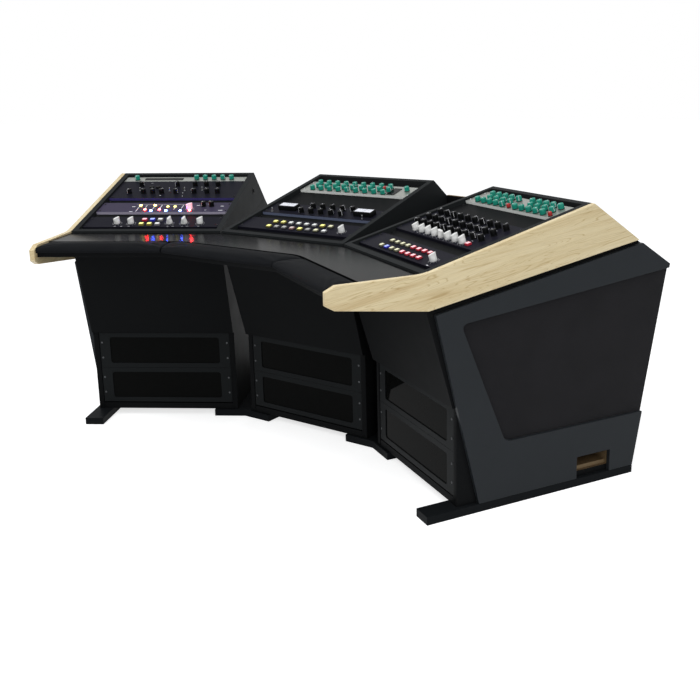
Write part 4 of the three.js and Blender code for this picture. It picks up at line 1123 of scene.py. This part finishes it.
def window_on(name, low_share, high_share):
    """Size and middle of a rectangle on a unit's face, from the shares of two corners."""
    low, high = (np.array(unit_point(name, *share)) for share in (low_share, high_share))
    return high - low, (low + high) / 2


def dark_glass():
    """Smoked cover glass: small noise moves a low roughness, and the tone is nearly black."""
    return coat("dark_glass", (12, 13, 14), 0.12, mottle=0.2, bump=0.0)


cover_glass = dark_glass()
for name, corners in DISPLAYS.items():
    size, middle = window_on(name, *corners)
    rim = stacked([rounded(size, cut, 1, UNIT_FACE + rise, middle) for cut, rise in (
        (0, -0.5), (0, 1.5), (2.4, 1.5), (2.8, 0.6), (2.8, -0.5))], closed=True)
    pane = stacked([rounded(size, 2.8, 1, UNIT_FACE + rise, middle) for rise in (-0.5, 0.8)])
    fit(f"{name}_display_rim", rim, UNITS[name][0], moulded_black)
    fit(f"{name}_display_glass", pane, UNITS[name][0], cover_glass)

housings, dials, needles = [], [], []
for corners in METERS:
    size, middle = window_on("meter_unit_centre", *corners)
    housings.append(stacked([rounded(size, cut, 2.5, METER_TOP - drop, middle) for cut, drop in (
        (0, 18.5), (0, 2.5), (1.6, 0.5), (3, 0), (6, 0), (6.6, 1.2), (6.6, 18.5))], closed=True))
    dials.append(stacked([rounded(size, 6.4, 2, METER_TOP - drop, middle) for drop in (6, 1)]))
    needles.append(line_print(20, 0.6, 70).at((middle[0] + 2, middle[1] - 1, METER_TOP - 0.9)))
    needles.append(ray_prints(3, 0.7, SCALE_RADIUS, range(-45, 46, 15), (
        middle[0], middle[1] - SCALE_DROP, METER_TOP - 0.95)))
fit("meter_housings", joined(housings), "centre", black_plastic)
fit("meter_dials", joined(dials), "centre",
    lit_plastic("meter_dial", (206, 208, 216), 0.25))
fit("meter_needles", joined(needles), "centre", skirt_black)


# Pointer knobs: white plastic, round at the foot and pinched into a fin above, whose top slants up
# to the end that points. Each is pushed onto the shaft of its control and turns with it.
FOOT, FIN_REACH, FIN_HALF = 11, 12, 5
COLLAR, KNOB_RISE, FIN_FALL, CROWN = 4.5, 24, 4, 0.5
NARROWING, END_EASE = 0.2, 0.2
POINTER_NAMES = {
    "pointer_unit_left": ("pointer_knob_left", [-40, -40, -10, -10, -50]),
    "lamp_unit_left": ("pointer_knob_lamps", [-70]),
    "key_unit_centre": ("pointer_knob_centre", [-20]),
    "key_unit_right": ("pointer_knob_right", [0]),
    "channel_unit_right": ("channel_knob", [0, 0, 0, -10, 90, -5, 0, 5]),
}


def pointer_knob(steps=9, sides=32):
    """Rings (a cos t, b sin t, z): a shrinks from the foot to the fin and b grows, both by a smooth
    step, and z runs from the collar to the slanted top, 24 - 4 (12 - y) / 24."""
    def slant(ring):
        """Height of the slanted top, less its crown, over each point of a ring."""
        return KNOB_RISE - CROWN - FIN_FALL * (FIN_REACH - ring[:, 1]) / (2 * FIN_REACH)

    neck, reach = FOOT - NARROWING, FIN_REACH - END_EASE
    rings = [oval(radius, radius, z, sides) for radius, z in (
        (FOOT - 0.5, 0.3), (FOOT, 0.9), (FOOT, COLLAR - 0.7), (neck, COLLAR))]
    for share in np.linspace(0, 1, steps)[1:]:
        eased = share * share * (3 - 2 * share)
        ring = oval(*(neck + (end - neck) * eased for end in (FIN_HALF, reach)), 0, sides)
        ring[:, 2] = COLLAR + (slant(ring) - COLLAR) * share
        rings.append(ring)
    for cut, lift in ((0.9, 0.35), (0.62, CROWN)):
        ring = oval(FIN_HALF * cut, reach * cut ** 0.5, 0, sides)
        ring[:, 2] = slant(ring) + lift
        rings.append(ring)
    return stacked(rings)


white_plastic = coat("white_plastic", (222, 222, 220), 0.38, mottle=0.05, bump=0.08)
# The knob on the lamp unit is white plastic like the others. It is painted rose and made to glow
# for the light of the red lamp beside it: painted light.
knob_painted_lamp_glow = lit_plastic("white_plastic_painted_rose_glow", (236, 196, 210), 0.35)
for unit, (stem, turns) in POINTER_NAMES.items():
    finish = knob_painted_lamp_glow if unit == "lamp_unit_left" else white_plastic
    for i, (place, turn) in enumerate(zip(unit_places(unit, POINTER_SHARES[unit]), turns)):
        name = f"{stem}_{i + 1}" if len(turns) > 1 else stem
        knob = piece_of(f"{name}_cap", pointer_knob().turned(turn).at(place),
                        on_slope(UNITS[unit][0]), [finish], turn=50)
        dress(knob, name, slot="white_plastic", body=name)


# Push buttons: the same caps as the keys, free in their wells, which they sink into by 2.5 mm.
# Their lamps are on: yellow, yellow and white in the front row, red, blue and white behind.
BUTTON_FOOT = -3
BUTTON_COLOURS = ("yellow", "yellow", "white", "red", "blue", "white")
for i, (place, colour) in enumerate(zip(
        unit_places("pointer_unit_left", BUTTON_SHARES), BUTTON_COLOURS)):
    name = f"push_button_{i + 1}"
    button = piece_of(f"{name}_cap", key_cap(bottom=BUTTON_FOOT).at(place), on_slope("left"),
                      key_plastic[colour])
    dress(button, name, slot="button_plastic", body=name)
